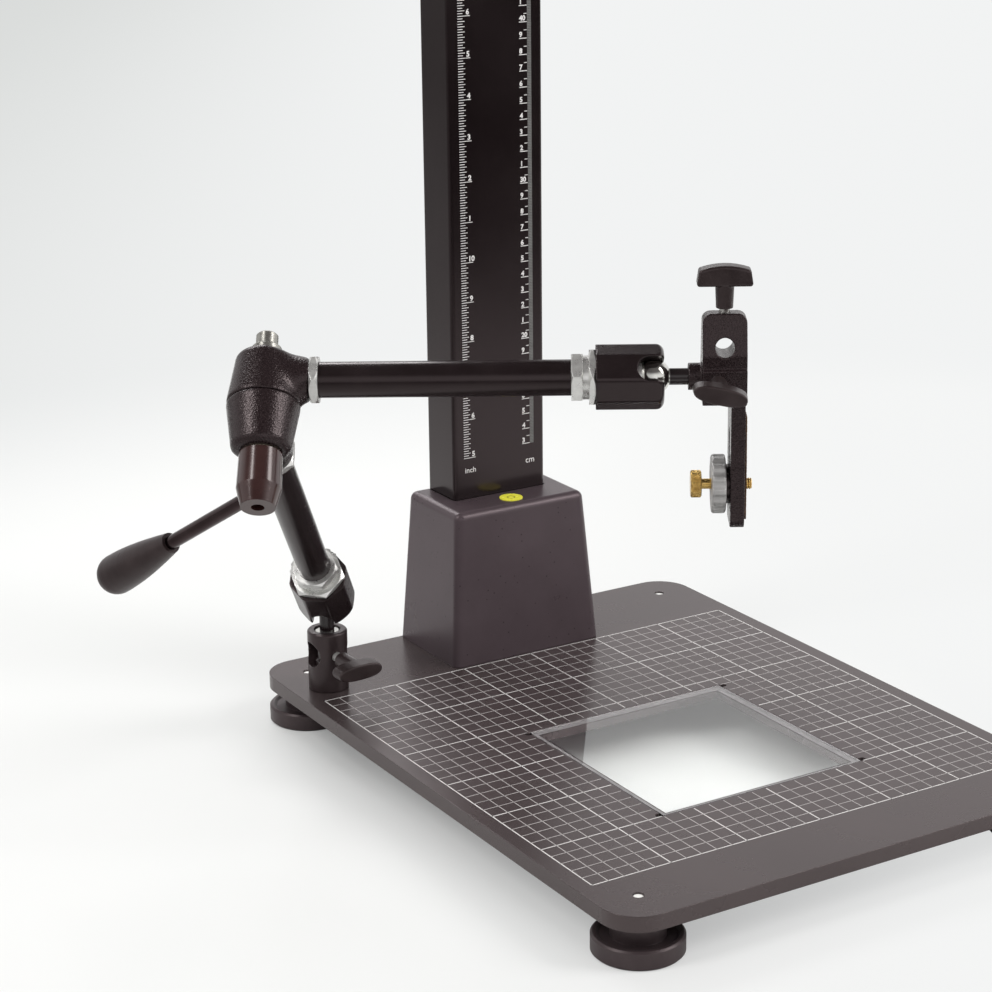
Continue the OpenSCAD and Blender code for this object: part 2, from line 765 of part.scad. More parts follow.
module socket_screw() {
    color("silver") at_socket_clamp() wing_stud(wing_screw_d, socket_d / 2 - waist_r - 0.1);
}

module socket_wing() {
    color([0.1, 0.09, 0.09]) at_socket_clamp() rotate([0, 0, 2]) wing(wing_screw_d);
}

// ---- Ball joints ----

// A turned spigot with a waist for the clamping screw and a bore for the stem
module lower_spigot() {
    r = spigot_d / 2;
    slope = r - waist_r;
    bottom = socket_floor + 0.3;
    color("silver") translate(socket_at) difference() {
        rotate_extrude() polygon([[0, bottom], [r - 0.8, bottom], [r, bottom + 0.8],
            [r, clamp_z - waist_half - slope], [waist_r, clamp_z - waist_half],
            [waist_r, clamp_z + waist_half], [r, clamp_z + waist_half + slope],
            [r, spigot_top - 0.8], [r - 0.8, spigot_top], [0, spigot_top]]);
        translate([0, 0, spigot_top - stem_sunk]) cylinder(h = stem_sunk + eps, d = stem_d);
    }
}

// A ball on the origin with its stem out to reach along +Z
module ball_stem(reach) {
    sphere(ball_r);
    cylinder(h = reach, d = stem_d);
}

module lower_ball_stem() {
    color([0.6, 0.6, 0.58]) translate(socket_at + [0, 0, ball_z]) rotate([180, 0, 0])
        ball_stem(ball_z - spigot_top + stem_sunk);
}

// The pieces of a ball joint lie on +X, with the ball's centre at the origin and the tube towards -X.
// The slot is cut towards the angle that is given, about +X from +Y.
module ball_housing(slot_angle) {
    length = housing_back + mouth_reach;
    slot_top = housing_d / 2 + eps;
    difference() {
        intersection() {
            along_x(-housing_back) rotate_extrude() {
                square([housing_d / 2, length - mouth_edge_r]);
                square([housing_d / 2 - mouth_edge_r, length]);
                translate([housing_d / 2 - mouth_edge_r, length - mouth_edge_r]) circle(mouth_edge_r);
            }
            rotate([slot_angle + 22.5, 0, 0]) along_x(-housing_back)
                cylinder(h = length, d = housing_flats / cos(22.5), $fn = 8);
        }
        sphere(ball_r + run);
        along_x(-housing_back + 7) cylinder(h = housing_back - 7, r = ball_r + run);
        along_x(-housing_back - eps) cylinder(h = 7 + 2 * eps, d = tube_d + 2 * run);
        rotate([slot_angle, 0, 0]) {
            translate([-slot_back, 0, 0]) rotate([-90, 0, 0]) cylinder(h = slot_top, d = slot_w);
            translate([-slot_back, 0, -slot_w / 2]) cube([mouth_reach + slot_back + eps, slot_top, slot_w]);
        }
    }
}

module flange_nut() {
    along_x(-housing_back - flange_nut_t) hex_nut(flange_nut_flats, flange_nut_t, tube_d + 2 * run, 0.6);
}

// The lock nut with the threaded sleeve that joins it to the flange nut
module lock_nut() {
    back = housing_back + flange_nut_t + thread_len;
    along_x(-back - lock_nut_t) hex_nut(lock_nut_flats, lock_nut_t, tube_d + 2 * run);
    along_x(-back) difference() {
        translate([0, 0, -1]) cylinder(h = thread_len + 1, d = lock_nut_flats - 1.2);
        translate([0, 0, -1 - eps]) cylinder(h = thread_len + 1 + 2 * eps, d = tube_d + 2 * run);
    }
}

// A cup that presses on the back of the ball
module pressure_cup() {
    along_x(-ball_r * 0.55 - cup_len) difference() {
        cylinder(h = cup_len, r = ball_r - 0.1);
        translate([0, 0, cup_len + ball_r * 0.55]) sphere(ball_r + run);
    }
}

// ---- Arms ----

module arm_tube(arm_len) {
    start = boot_len - 10;
    end = arm_len - housing_back + 6;
    along_x(start) difference() {
        cylinder(h = end - start, d = tube_d);
        translate([0, 0, -eps]) cylinder(h = end - start + 2 * eps, d = tube_d - 2 * tube_wall);
    }
}

module arm_collar() {
    along_x(boot_len) hex_nut(collar_flats, collar_t, tube_d + 2 * run, 0.9);
}

module push_rod(arm_len) {
    start = chamber_d / 2 - 2;
    end = arm_len - ball_r * 0.55 - cup_len;
    along_x(start) cylinder(h = end - start, d = push_rod_d);
}

// A casting of the elbow, with its split face at -split and its outer end at +end on Z
module elbow_casting(split, end) {
    difference() {
        union() {
            rotate_extrude() {
                polygon([[0, -split], [hub_r - 0.7, -split], [hub_r, 0.7 - split], [hub_r, 2 - split], [hub_end_r, end - hub_edge_r],
                    [0, end - hub_edge_r]]);
                translate([0, end - hub_edge_r - eps]) square([hub_end_r - hub_edge_r, hub_edge_r + eps]);
                intersection() {
                    translate([hub_end_r - hub_edge_r, end - hub_edge_r]) circle(hub_edge_r);
                    square([hub_end_r, end]);
                }
            }
            intersection() {
                along_x(0) cylinder(h = boot_len, r1 = hub_end_r, r2 = boot_r);
                translate([0, -hub_r, -split]) cube([boot_len, 2 * hub_r, split + end - 1]);
            }
        }
        translate([0, 0, -split - eps]) cylinder(h = split + end - 5 + eps, d = chamber_d);
        translate([0, 0, -split]) cylinder(h = split + end + eps, d = pivot_d + 2 * run);
        along_x(boot_len - 10) cylinder(h = 10 + eps, d = tube_d);
        along_x(chamber_d / 2 - 3) cylinder(h = boot_len, d = push_rod_d + 1);
    }
}

module lower_housing() {
    color([0.08, 0.07, 0.07]) at_lower_arm() translate([lower_arm_len, 0, 0]) ball_housing(arm_roll - 90);
}

module lower_flange_nut() {
    color("silver") at_lower_arm() translate([lower_arm_len, 0, 0]) rotate([nut_turn, 0, 0]) flange_nut();
}

module lower_lock_nut() {
    color("silver") at_lower_arm() translate([lower_arm_len, 0, 0]) rotate([nut_turn, 0, 0]) lock_nut();
}

module lower_tube() {
    color([0.12, 0.11, 0.11]) at_lower_arm() arm_tube(lower_arm_len);
}

module lower_collar() {
    color("silver") at_lower_arm() arm_collar();
}

module lower_casting() {
    color([0.12, 0.1, 0.1]) at_lower_arm() mirror([0, 0, 1]) elbow_casting(elbow_split - elbow_gap / 2, lower_hub_h);
}

module lower_cup() {
    color("gray") at_lower_arm() translate([lower_arm_len, 0, 0]) pressure_cup();
}

module lower_push_rod() {
    color("gray") at_lower_arm() push_rod(lower_arm_len);
}

module upper_housing() {
    color([0.08, 0.07, 0.07]) at_upper_arm() translate([upper_arm_len, 0, 0]) ball_housing(upper_slot_angle);
}

module upper_flange_nut() {
    color("silver") at_upper_arm() translate([upper_arm_len, 0, 0]) flange_nut();
}

module upper_lock_nut() {
    color("silver") at_upper_arm() translate([upper_arm_len, 0, 0]) lock_nut();
}

module upper_tube() {
    color([0.12, 0.11, 0.11]) at_upper_arm() arm_tube(upper_arm_len);
}

module upper_collar() {
    color("silver") at_upper_arm() arm_collar();
}

module upper_casting() {
    color([0.12, 0.1, 0.1]) at_upper_arm() elbow_casting(elbow_split - elbow_gap / 2, upper_hub_h);
}

module upper_cup() {
    color("gray") at_upper_arm() translate([upper_arm_len, 0, 0]) pressure_cup();
}

module upper_push_rod() {
    color("gray") at_upper_arm() push_rod(upper_arm_len);
}

// ---- Elbow lock ----

module centre_bolt() {
    head_z = upper_hub_h + pivot_flange_h;
    length = upper_hub_h + elbow_offset - pivot_end_z;
    color("silver") at_upper_arm() difference() {
        union() {
            translate([0, 0, upper_hub_h]) cylinder(h = pivot_flange_h - 1.2, d = pivot_flange_d);
            translate([0, 0, head_z - 1.2]) cylinder(h = 1.2, d1 = pivot_flange_d, d2 = pivot_head_d + 1.6);
            translate([0, 0, head_z]) cylinder(h = pivot_head_h - 1, d = pivot_head_d);
            translate([0, 0, head_z + pivot_head_h - 1]) cylinder(h = 1, d1 = pivot_head_d, d2 = pivot_head_d - 2);
            translate([0, 0, upper_hub_h - length]) cylinder(h = length + 1, d = pivot_d);
        }
        translate([0, 0, head_z + 3]) cylinder(h = pivot_head_h, d = pivot_key / cos(30), $fn = 6);
    }
}

module friction_washer() {
    color("cornsilk") at_lower_arm() translate([0, 0, -lower_hub_h - washer_t]) difference() {
        cylinder(h = washer_t, d = washer_d);
        translate([0, 0, -eps]) cylinder(h = washer_t + 2 * eps, d = pivot_d + 2 * run);
    }
}

module lock_cap() {
    top_z = -lower_hub_h - washer_t;
    color([0.16, 0.07, 0.05]) at_lower_arm() difference() {
        union() {
            translate([0, 0, top_z - lock_cap_len]) cylinder(h = lock_cap_len, d1 = lock_cap_d, d2 = lock_cap_top_d);
            translate([0, 0, cap_end_z]) cylinder(h = lock_cap_cone, d1 = lock_cap_end_d, d2 = lock_cap_d);
        }
        translate([0, 0, cap_end_z - eps]) cylinder(h = top_z - cap_end_z + 2 * eps, d = cap_hole_d);
        translate([0, 0, pivot_end_z - 0.5]) cylinder(h = top_z - pivot_end_z + 1.5, d = pivot_d + 2 * run);
        translate([0, 0, lever_z]) rotate([0, 0, lever_angle]) along_x(cap_hole_d / 2)
            cylinder(h = lock_cap_d, d = lever_rod_d);
    }
}

module lever_rod() {
    start = cap_hole_d / 2 + 0.3;
    color([0.15, 0.12, 0.11]) at_lower_arm() translate([0, 0, lever_z]) rotate([0, 0, lever_angle]) along_x(start)
        cylinder(h = lever_len + grip_len / 2 - start, d = lever_rod_d);
}

// The grip swells from its neck in half a cosine and ends in a ball
module lever_grip() {
    ball_at = grip_len - grip_d / 2;
    neck_r = grip_neck_d / 2;
    swell = [for (i = [0 : 10]) [neck_r + (grip_d / 2 - neck_r) * sin(9 * i), ball_at * i / 10]];
    cap = [for (a = [10 : 10 : 80]) [grip_d / 2 * cos(a), ball_at + grip_d / 2 * sin(a)]];
    color([0.1, 0.09, 0.09]) at_lower_arm() translate([0, 0, lever_z]) rotate([0, 0, lever_angle])
        along_x(lever_len) difference() {
            rotate_extrude() polygon(concat([[0, 0]], swell, cap, [[0, grip_len]]));
            translate([0, 0, -eps]) cylinder(h = grip_len / 2 + eps, d = lever_rod_d);
        }
}

// ---- Bracket ----

module upper_ball_stem() {
    color([0.6, 0.6, 0.58]) at_bracket() rotate([0, 90, 0]) ball_stem(stem_end);
}

// The block's outline in the plane of the stem, with its upper corners rounded
module block_outline(bottom) {
    top_z = block_up - block_edge_r;
    translate([block_x, bottom]) square([block_w, top_z - bottom]);
    translate([block_x + block_edge_r, bottom]) square([block_w - 2 * block_edge_r, block_up - bottom]);
    for (x = [block_x + block_edge_r, block_x + block_w - block_edge_r])
        translate([x, top_z]) circle(block_edge_r);
}

module slot_cut(x, t) {
    low = -camera_drop - slide_down;
    high = -camera_drop + slide_up;
    for (z = [low, high]) translate([0, 0, z]) along_x(x - eps) cylinder(h = t + 2 * eps, d = camera_thread_d + 0.3);
    translate([x - eps, -camera_thread_d / 2 - 0.15, low]) cube([t + 2 * eps, camera_thread_d + 0.3, high - low]);
}

// What the taper takes off the front or the back of the block
module block_slope(side) {
    translate([block_x - 1, 0, 0]) rotate([90, 0, 90]) linear_extrude(block_w + 2)
        polygon([[side * block_depth / 2, step_up + 2], [side * block_top_depth / 2, block_up],
            [side * block_top_depth / 2, block_up + 1], [side * (block_depth / 2 + 1), block_up + 1],
            [side * (block_depth / 2 + 1), step_up + 2]]);
}

module bracket() {
    screw_x = boss_start + boss_len + stem_screw_x;
    hole_x = block_x + block_w / 2;
    color([0.14, 0.12, 0.12]) at_bracket() difference() {
        union() {
            along_x(boss_start) cylinder(h = boss_len + eps, d = boss_d);
            translate([0, block_depth / 2, 0]) rotate([90, 0, 0])
                linear_extrude(block_depth - step_depth) block_outline(-block_down);
            translate([block_x, -block_depth / 2, -block_down])
                cube([block_w, block_depth / 2, block_down + step_up]);
            translate([bar_x, 0, 0]) rotate([90, 0, 90]) linear_extrude(bar_t) {
                translate([-bar_w / 2, bar_corner_r - bar_down]) square([bar_w, bar_down - bar_corner_r - block_down + 1]);
                translate([bar_corner_r - bar_w / 2, -bar_down]) square([bar_w - 2 * bar_corner_r, bar_down / 2]);
                for (y = [-1, 1]) translate([y * (bar_w / 2 - bar_corner_r), bar_corner_r - bar_down])
                    circle(bar_corner_r);
            }
        }
        along_x(boss_start - eps) cylinder(h = stem_end - boss_start + eps + 0.5, d = stem_d + 2 * run);
        translate([hole_x, 0, hole_up]) rotate([90, 0, 0]) cylinder(h = block_depth + 2 * eps, d = hole_d, center = true);
        translate([hole_x, 0, hole_up]) cylinder(h = block_up, d = t_screw_d + 2 * run);
        translate([screw_x, 0, 0]) rotate([90, 0, 0]) cylinder(h = block_depth, d = wing_screw_d + 2 * run);
        slot_cut(bar_x, bar_t);
        for (side = [-1, 1]) block_slope(side);
    }
}

module camera_pad() {
    corner_r = 3;
    color([0.1, 0.09, 0.09]) at_bracket() difference() {
        translate([pad_x, 0, -(pad_top + pad_bottom) / 2]) rotate([90, 0, 90])
            rounded_block(pad_w, pad_bottom - pad_top, pad_t, corner_r);
        slot_cut(pad_x, pad_t);
    }
}

module t_screw() {
    bottom = hole_up + hole_d / 2 + 0.5;
    top = block_up + t_gap + t_stem_h;
    color("silver") at_bracket() translate([block_x + block_w / 2, 0, bottom]) cylinder(h = top - bottom, d = t_screw_d);
}

module t_knob() {
    r = 1.5;
    half_len = t_bar_len / 2 - r;
    half_t = t_bar_t / 2 - r;
    color([0.11, 0.1, 0.1]) at_bracket() translate([block_x + block_w / 2, 0, block_up + t_gap]) difference() {
        union() {
            cylinder(h = t_stem_h + 1, d1 = t_stem_end_d, d2 = t_stem_top_d);
            translate([0, 0, t_stem_h]) hull() for (y = [-half_t, half_t]) {
                for (x = [-half_len, half_len]) translate([x, y, r]) sphere(r, $fn = 16);
                for (u = [-1 : 0.25 : 1]) translate([u * (half_len - 1), y, t_bar_h - r - t_bar_sag * u * u])
                    sphere(r, $fn = 16);
            }
        }
        translate([0, 0, -eps]) cylinder(h = t_stem_h + eps, d = t_screw_d);
    }
}

// The clamping screw's axis on the bracket, with the block's face at z = 0
module at_bracket_clamp() {
    at_bracket() translate([block_x + stem_screw_x, -block_depth / 2, 0]) rotate([90, 0, 0]) children();
}

module bracket_screw() {
    color("silver") at_bracket_clamp() wing_stud(wing_screw_d, block_depth / 2 - stem_d / 2 - 0.1);
}

module bracket_wing() {
    color([0.11, 0.1, 0.1]) at_bracket_clamp() rotate([0, 0, -12.5]) wing(wing_screw_d);
}

// ---- Camera screw and lock wheel ----

module wheel_washer() {
    color([0.08, 0.08, 0.08]) at_camera_screw() translate([0, 0, wheel_x + wheel_t]) difference() {
        cylinder(h = wheel_washer_t, d = wheel_washer_d);
        translate([0, 0, -eps]) cylinder(h = wheel_washer_t + 2 * eps, d = camera_thread_d + 2 * run);
    }
}

module lock_wheel() {
    scallop_r = 3.4;
    scallop_depth = 1.1;
    bevel = 0.8;
    color("silver") at_camera_screw() translate([0, 0, wheel_x]) difference() {
        union() {
            cylinder(h = bevel, d1 = wheel_d - 2 * bevel, d2 = wheel_d);
            translate([0, 0, bevel]) cylinder(h = wheel_t - 2 * bevel, d = wheel_d);
            translate([0, 0, wheel_t - bevel]) cylinder(h = bevel, d1 = wheel_d, d2 = wheel_d - 2 * bevel);
        }
        for (i = [0 : wheel_scallops - 1]) rotate([0, 0, i * 360 / wheel_scallops])
            translate([wheel_d / 2 + scallop_r - scallop_depth, 0, -eps])
                cylinder(h = wheel_t + 2 * eps, r = scallop_r, $fn = 24);
        translate([0, 0, -eps]) cylinder(h = wheel_t + 2 * eps, d = camera_thread_d + 2 * run);
    }
}

module camera_screw() {
    tip_x = pad_x + pad_t + camera_tip;
    color([0.75, 0.6, 0.25]) at_camera_screw() {
        translate([0, 0, screw_head_x]) cylinder(h = screw_head_t, d = screw_head_d);
        translate([0, 0, screw_head_x + 1]) cylinder(h = tip_x - screw_head_x - 1.5, d = camera_shank_d);
        translate([0, 0, pad_x + pad_t + thread_start])
            cylinder(h = camera_tip - thread_start - 0.5, d = camera_thread_d);
        translate([0, 0, tip_x - 0.5]) cylinder(h = 0.5, d1 = camera_thread_d, d2 = camera_thread_d - 1);
    }
}

// ---- Camera carriage ----

module carriage() {
    color([0.12, 0.11, 0.12]) difference() {
        translate([0, column_y, carriage_z]) difference() {
            rounded_block(carriage_w, carriage_depth, carriage_h, 6);
            translate([0, 0, -eps]) rounded_block(column_w + 2 * carriage_gap, column_depth + 2 * carriage_gap,
                carriage_h + 2 * eps, column_corner_r);
        }
        translate([column_w / 2, column_y, knob_z]) rotate([0, 90, 0])
            cylinder(h = carriage_w / 2, d = knob_screw_d + 2 * run);
        for (x = [-1, 1]) translate([x * arm_bolt_spacing / 2, carriage_front_y - eps, knob_z]) rotate([-90, 0, 0])
            cylinder(h = carriage_wall - 1 + eps, d = arm_bolt_d);
    }
}

// An arm from the carriage to an upright plate that takes the camera's base
module camera_arm() {
    flange_w = arm_bolt_spacing + 3 * arm_bolt_d;
    bar_back = carriage_front_y - plate_t;
    color([0.12, 0.11, 0.12]) difference() {
        translate([0, 0, knob_z]) {
            translate([0, carriage_front_y, 0]) rotate([90, 0, 0])
                rounded_block(flange_w, plate_h, plate_t, 4);
            translate([-camera_bar_w / 2, plate_y + plate_t - eps, -camera_bar_h / 2])
                cube([camera_bar_w, bar_back - plate_y - plate_t + 2 * eps, camera_bar_h]);
            translate([0, plate_y + plate_t, 0]) rotate([90, 0, 0]) rounded_block(plate_w, plate_h, plate_t, 4);
        }
        for (x = [-1, 1]) translate([x * arm_bolt_spacing / 2, carriage_front_y + eps, knob_z]) rotate([90, 0, 0])
            cylinder(h = plate_t + 2 * eps, d = arm_bolt_d + 2 * run);
        translate([0, plate_y - eps, knob_z]) rotate([-90, 0, 0])
            cylinder(h = plate_t + 2 * eps, d = camera_thread_d + 2 * run);
        translate([0, plate_y + plate_t + knob_room / 2, knob_z])
            cube([camera_bar_w + 2 * eps, knob_room, knob_room_h], center = true);
    }
}

module arm_bolts() {
    color("gray") for (x = [-1, 1]) translate([x * arm_bolt_spacing / 2, carriage_front_y - plate_t, knob_z])
        rotate([-90, 0, 0]) {
            translate([0, 0, -arm_bolt_d]) difference() {
                cylinder(h = arm_bolt_d, d = 1.6 * arm_bolt_d);
                translate([0, 0, -eps]) cylinder(h = arm_bolt_d / 2 + eps, d = arm_bolt_d, $fn = 6);
            }
            translate([0, 0, -1]) cylinder(h = plate_t + carriage_wall - 1, d = arm_bolt_d);
        }
}

// A lobed knob with its screw on +Z and the clamped face at z = 0
module lobed_knob(d, t, screw_d, depth, gap, lobes) {
    lobe_r = d / 7;
    translate([0, 0, gap]) difference() {
        cylinder(h = t, d = d);
        for (i = [0 : lobes - 1]) rotate([0, 0, (i + 0.5) * 360 / lobes]) translate([d / 2 + lobe_r * 0.6, 0, -eps])
            cylinder(h = t + 2 * eps, r = lobe_r, $fn = 32);
    }
    translate([0, 0, -depth]) cylinder(h = depth + gap + t / 2, d = screw_d);
}

module carriage_knob() {
    color([0.1, 0.1, 0.1]) translate([carriage_w / 2, column_y, knob_z]) rotate([0, 90, 0])
        lobed_knob(knob_d, knob_t, knob_screw_d, carriage_wall + carriage_gap - 0.1, 2, 7);
}

module plate_camera_screw() {
    head_d = 20;
    head_t = 10;
    color([0.1, 0.1, 0.1]) translate([0, plate_y + plate_t, knob_z]) rotate([-90, 0, 0])
        union() {
            lobed_knob(head_d, head_t, camera_shank_d, plate_t + plate_tip, 1, 9);
            translate([0, 0, -plate_t - plate_tip])
                cylinder(h = plate_tip - thread_start, d = camera_thread_d);
        }
}

baseboard();
glass_pane();
foot_studs();
foot_front_left();
foot_front_right();
foot_back_left();
foot_back_right();
column();
column_cap();
column_plug();
column_bolts();
plug_screws();
column_cover();
cover_screws();
level_case();
level_lens();
arm_socket();
socket_base_screw();
socket_screw();
socket_wing();
lower_spigot();
lower_ball_stem();
lower_housing();
lower_flange_nut();
lower_lock_nut();
lower_tube();
lower_collar();
lower_casting();
lower_cup();
lower_push_rod();
friction_washer();
lock_cap();
lever_rod();
lever_grip();
upper_casting();
upper_collar();
upper_tube();
upper_lock_nut();
upper_flange_nut();
upper_housing();
upper_cup();
upper_push_rod();
centre_bolt();
upper_ball_stem();
bracket();
camera_pad();
t_screw();
t_knob();
bracket_screw();
bracket_wing();
wheel_washer();
lock_wheel();
camera_screw();
carriage();
camera_arm();
arm_bolts();
carriage_knob();
plate_camera_screw();
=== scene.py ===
import bpy, bmesh, json, math
from mathutils import Matrix, Vector, noise


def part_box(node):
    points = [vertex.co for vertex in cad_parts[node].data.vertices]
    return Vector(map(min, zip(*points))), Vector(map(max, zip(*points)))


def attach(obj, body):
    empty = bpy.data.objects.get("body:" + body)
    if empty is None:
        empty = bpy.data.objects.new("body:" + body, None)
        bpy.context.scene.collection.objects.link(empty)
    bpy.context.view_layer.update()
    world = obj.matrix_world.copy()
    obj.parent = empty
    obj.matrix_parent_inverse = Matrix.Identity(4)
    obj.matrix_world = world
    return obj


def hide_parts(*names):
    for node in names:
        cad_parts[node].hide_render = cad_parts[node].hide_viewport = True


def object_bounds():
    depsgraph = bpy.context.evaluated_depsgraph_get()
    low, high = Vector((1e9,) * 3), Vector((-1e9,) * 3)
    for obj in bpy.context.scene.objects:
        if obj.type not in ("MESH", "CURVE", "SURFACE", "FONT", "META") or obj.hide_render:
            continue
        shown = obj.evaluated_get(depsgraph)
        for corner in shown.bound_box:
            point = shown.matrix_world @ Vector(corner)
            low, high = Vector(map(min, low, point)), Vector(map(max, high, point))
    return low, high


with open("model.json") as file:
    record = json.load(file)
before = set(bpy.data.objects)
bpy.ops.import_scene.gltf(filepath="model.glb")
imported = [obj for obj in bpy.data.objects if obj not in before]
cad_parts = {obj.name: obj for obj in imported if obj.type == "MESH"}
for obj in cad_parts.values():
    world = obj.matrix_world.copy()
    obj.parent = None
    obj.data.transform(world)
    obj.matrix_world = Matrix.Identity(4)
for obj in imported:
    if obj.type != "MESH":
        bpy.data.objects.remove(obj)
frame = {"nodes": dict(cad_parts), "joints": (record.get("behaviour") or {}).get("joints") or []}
cad = frame["nodes"]
turning = {j["name"]: j for j in frame["joints"]}
cad_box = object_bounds()

# The studio: a long lens looks down on the stand from its front left,
# level with the top of the folded arm.
eye_right = Vector((0.8548077, -0.5188316, -0.0108441))
eye_down = Vector((-0.1646969, -0.2514139, -0.9537641))
eye_ahead = Vector((0.4921166, 0.8170709, -0.3003605))
eye_place = Vector((-0.7930940, -1.0955280, 0.5802015))
lens = bpy.data.cameras.new("studio_camera")
lens.lens = 89.9955
lens.sensor_width = 36
lens.clip_start, lens.clip_end = 0.05, 100
camera = bpy.data.objects.new("studio_camera", lens)
camera.matrix_world = Matrix(
    [(eye_right[i], -eye_down[i], -eye_ahead[i], eye_place[i]) for i in range(3)] + [(0, 0, 0, 1)])
scene = bpy.context.scene
scene.collection.objects.link(camera)
scene.camera = camera
scene.view_settings.view_transform = "Standard"

# Light: two large soft boxes, high on the left and in front on the right, that
# draw the streaks on the round parts, and one behind for the edges.
lit_spot = (0, 0.1, 0.1)
for name, place, wide, tall, watts, tint in (
        ("light_left", (-1.75, 0.2, 1.9), 0.6, 1.2, 22, (1, 0.99, 0.98)),
        ("light_right", (1.4, -1.15, 1.6), 0.9, 1.2, 25, (1, 0.98, 0.97)),
        ("light_behind", (0.1, 1.9, 1.7), 1.6, 0.7, 24, (1, 1, 1))):
    softbox = bpy.data.lights.new(name, "AREA")
    softbox.shape, softbox.size, softbox.size_y = "RECTANGLE", wide, tall
    softbox.energy, softbox.color = watts, tint
    lamp = bpy.data.objects.new(name, softbox)
    lamp.location = place
    lamp.rotation_euler = (Vector(lit_spot) - Vector(place)).to_track_quat("-Z", "Y").to_euler()
    scene.collection.objects.link(lamp)


# The room: an even glow, a pale wall behind everything, and for the gloss of
# metal and paint a room that is bright low down and dark under its ceiling.
def add_node(tree, kind, inputs=None, **options):
    """Adds a node with its options set, and each input given a value or linked to an output."""
    made = tree.nodes.new(kind)
    for option, choice in options.items():
        setattr(made, option, choice)
    for socket, value in (inputs or {}).items():
        if isinstance(value, bpy.types.NodeSocket):
            tree.links.new(value, made.inputs[socket])
        else:
            made.inputs[socket].default_value = value
    return made


def calculate(tree, operation, first, second):
    """The result of an operation on two shares."""
    return add_node(tree, "ShaderNodeMath", {0: first, 1: second}, operation=operation).outputs[0]


def measure(tree, operation, place, *against):
    """A length, distance or product of a place, taken against another where it needs one."""
    return add_node(tree, "ShaderNodeVectorMath", dict(enumerate((place, *against))),
                    operation=operation).outputs["Value"]


def ramp(tree, share, stops):
    """A colour that follows a share through two stops, each (position, colour)."""
    made = add_node(tree, "ShaderNodeValToRGB", {"Fac": share})
    for element, (position, colour) in zip(made.color_ramp.elements, stops):
        element.position = position
        element.color = (*colour, 1)
    return made.outputs["Color"]


def seen_directly(path):
    """The share of a light path that goes straight, or through glass, to the lens."""
    return calculate(path.id_data, "MAXIMUM", path.outputs["Is Camera Ray"],
                     path.outputs["Is Transmission Ray"])


rightward = (0.855, -0.519, 0)
room = bpy.data.worlds.new("room")
scene.world = room
room.use_nodes = True
tree = room.node_tree
tree.nodes.clear()
heading = add_node(tree, "ShaderNodeTexCoord").outputs["Generated"]
aloft = add_node(tree, "ShaderNodeSeparateXYZ", {0: heading})
height_tone = ramp(tree, aloft.outputs["Z"], ((0.40, (0.92, 0.91, 0.91)), (0.64, (0.13, 0.12, 0.12))))
swing = add_node(tree, "ShaderNodeMapRange", {"Value": measure(tree, "DOT_PRODUCT", heading, rightward),
                                              "From Min": -0.22, "From Max": 0.22,
                                              "To Min": 0.80, "To Max": 1.18})
mirrored = add_node(tree, "ShaderNodeBackground", {"Color": height_tone, "Strength": swing.outputs[0]})
glow = add_node(tree, "ShaderNodeBackground", {"Color": (1, 0.985, 0.97, 1), "Strength": 0.62})
wall = add_node(tree, "ShaderNodeBackground", {"Color": (0.86, 0.87, 0.87, 1), "Strength": 1.0})
path = add_node(tree, "ShaderNodeLightPath")
unseen = add_node(tree, "ShaderNodeMixShader", {0: path.outputs["Is Glossy Ray"], 1: glow.outputs[0],
                                                2: mirrored.outputs[0]})
whole = add_node(tree, "ShaderNodeMixShader", {0: seen_directly(path), 1: unseen.outputs[0],
                                               2: wall.outputs[0]})
add_node(tree, "ShaderNodeOutputWorld", {"Surface": whole.outputs[0]})


# The pale paper sweep under the feet. In the gloss of metal and paint it shows a painted dark reflection in
# front of the stand and to its left. Seen directly it glows as painted light, set out below.
def eased_share(tree, source, start, stop, low=0.0, high=1.0):
    """A share that eases from low to high as source goes from start to stop."""
    return add_node(tree, "ShaderNodeMapRange", {"Value": source, "From Min": start, "From Max": stop,
                                                 "To Min": low, "To Max": high},
                    interpolation_type="SMOOTHSTEP").outputs[0]


def mix_colours(tree, share, first, second):
    """The colour that is first at share 0 and second at share 1."""
    return add_node(tree, "ShaderNodeMix", {"Factor": share, "A": first, "B": second},
                    data_type="RGBA").outputs["Result"]


def make_piece(name, bm, material):
    """Turns a worked mesh into a piece of the scene in its finish."""
    mesh = bpy.data.meshes.new(name)
    bm.to_mesh(mesh)
    bm.free()
    mesh.materials.append(material)
    piece = bpy.data.objects.new(name, mesh)
    scene.collection.objects.link(piece)
    return piece


floor_z = cad_box[0].z
sweep_reach = 14
shadow_middle = (0.05, 0.08, floor_z)
# The colour of the painted dark reflection.
painted_dark_reflection = (0.030, 0.018, 0.018, 1)
# Backdrop colours with painted shade: darker on the left, lighter on the right.
backdrop_shaded_left, backdrop_lit_right = (0.70, 0.715, 0.705, 1), (0.885, 0.895, 0.895, 1)
paper = bpy.data.materials.new("paper")
paper.use_nodes = True
tree = paper.node_tree
shader = tree.nodes["Principled BSDF"]
shader.inputs["Roughness"].default_value = 0.9
shader.inputs["Specular IOR Level"].default_value = 0.1
place = add_node(tree, "ShaderNodeTexCoord").outputs["Object"]
path = add_node(tree, "ShaderNodeLightPath")
mottle = add_node(tree, "ShaderNodeTexNoise", {"Vector": place, "Scale": 2.5, "Detail": 3})
shade = ramp(tree, mottle.outputs["Fac"], ((0, (0.735, 0.75, 0.745)), (1, (0.795, 0.80, 0.795))))
away = add_node(tree, "ShaderNodeSeparateXYZ", {0: place})
dark_reflection_front = eased_share(tree, away.outputs["Y"], -0.25, -1.15, high=0.97)
dark_reflection_left = eased_share(tree, away.outputs["X"], -0.04, -0.60, high=0.62)
dark_reflection_reach = calculate(tree, "MAXIMUM", dark_reflection_front, dark_reflection_left)
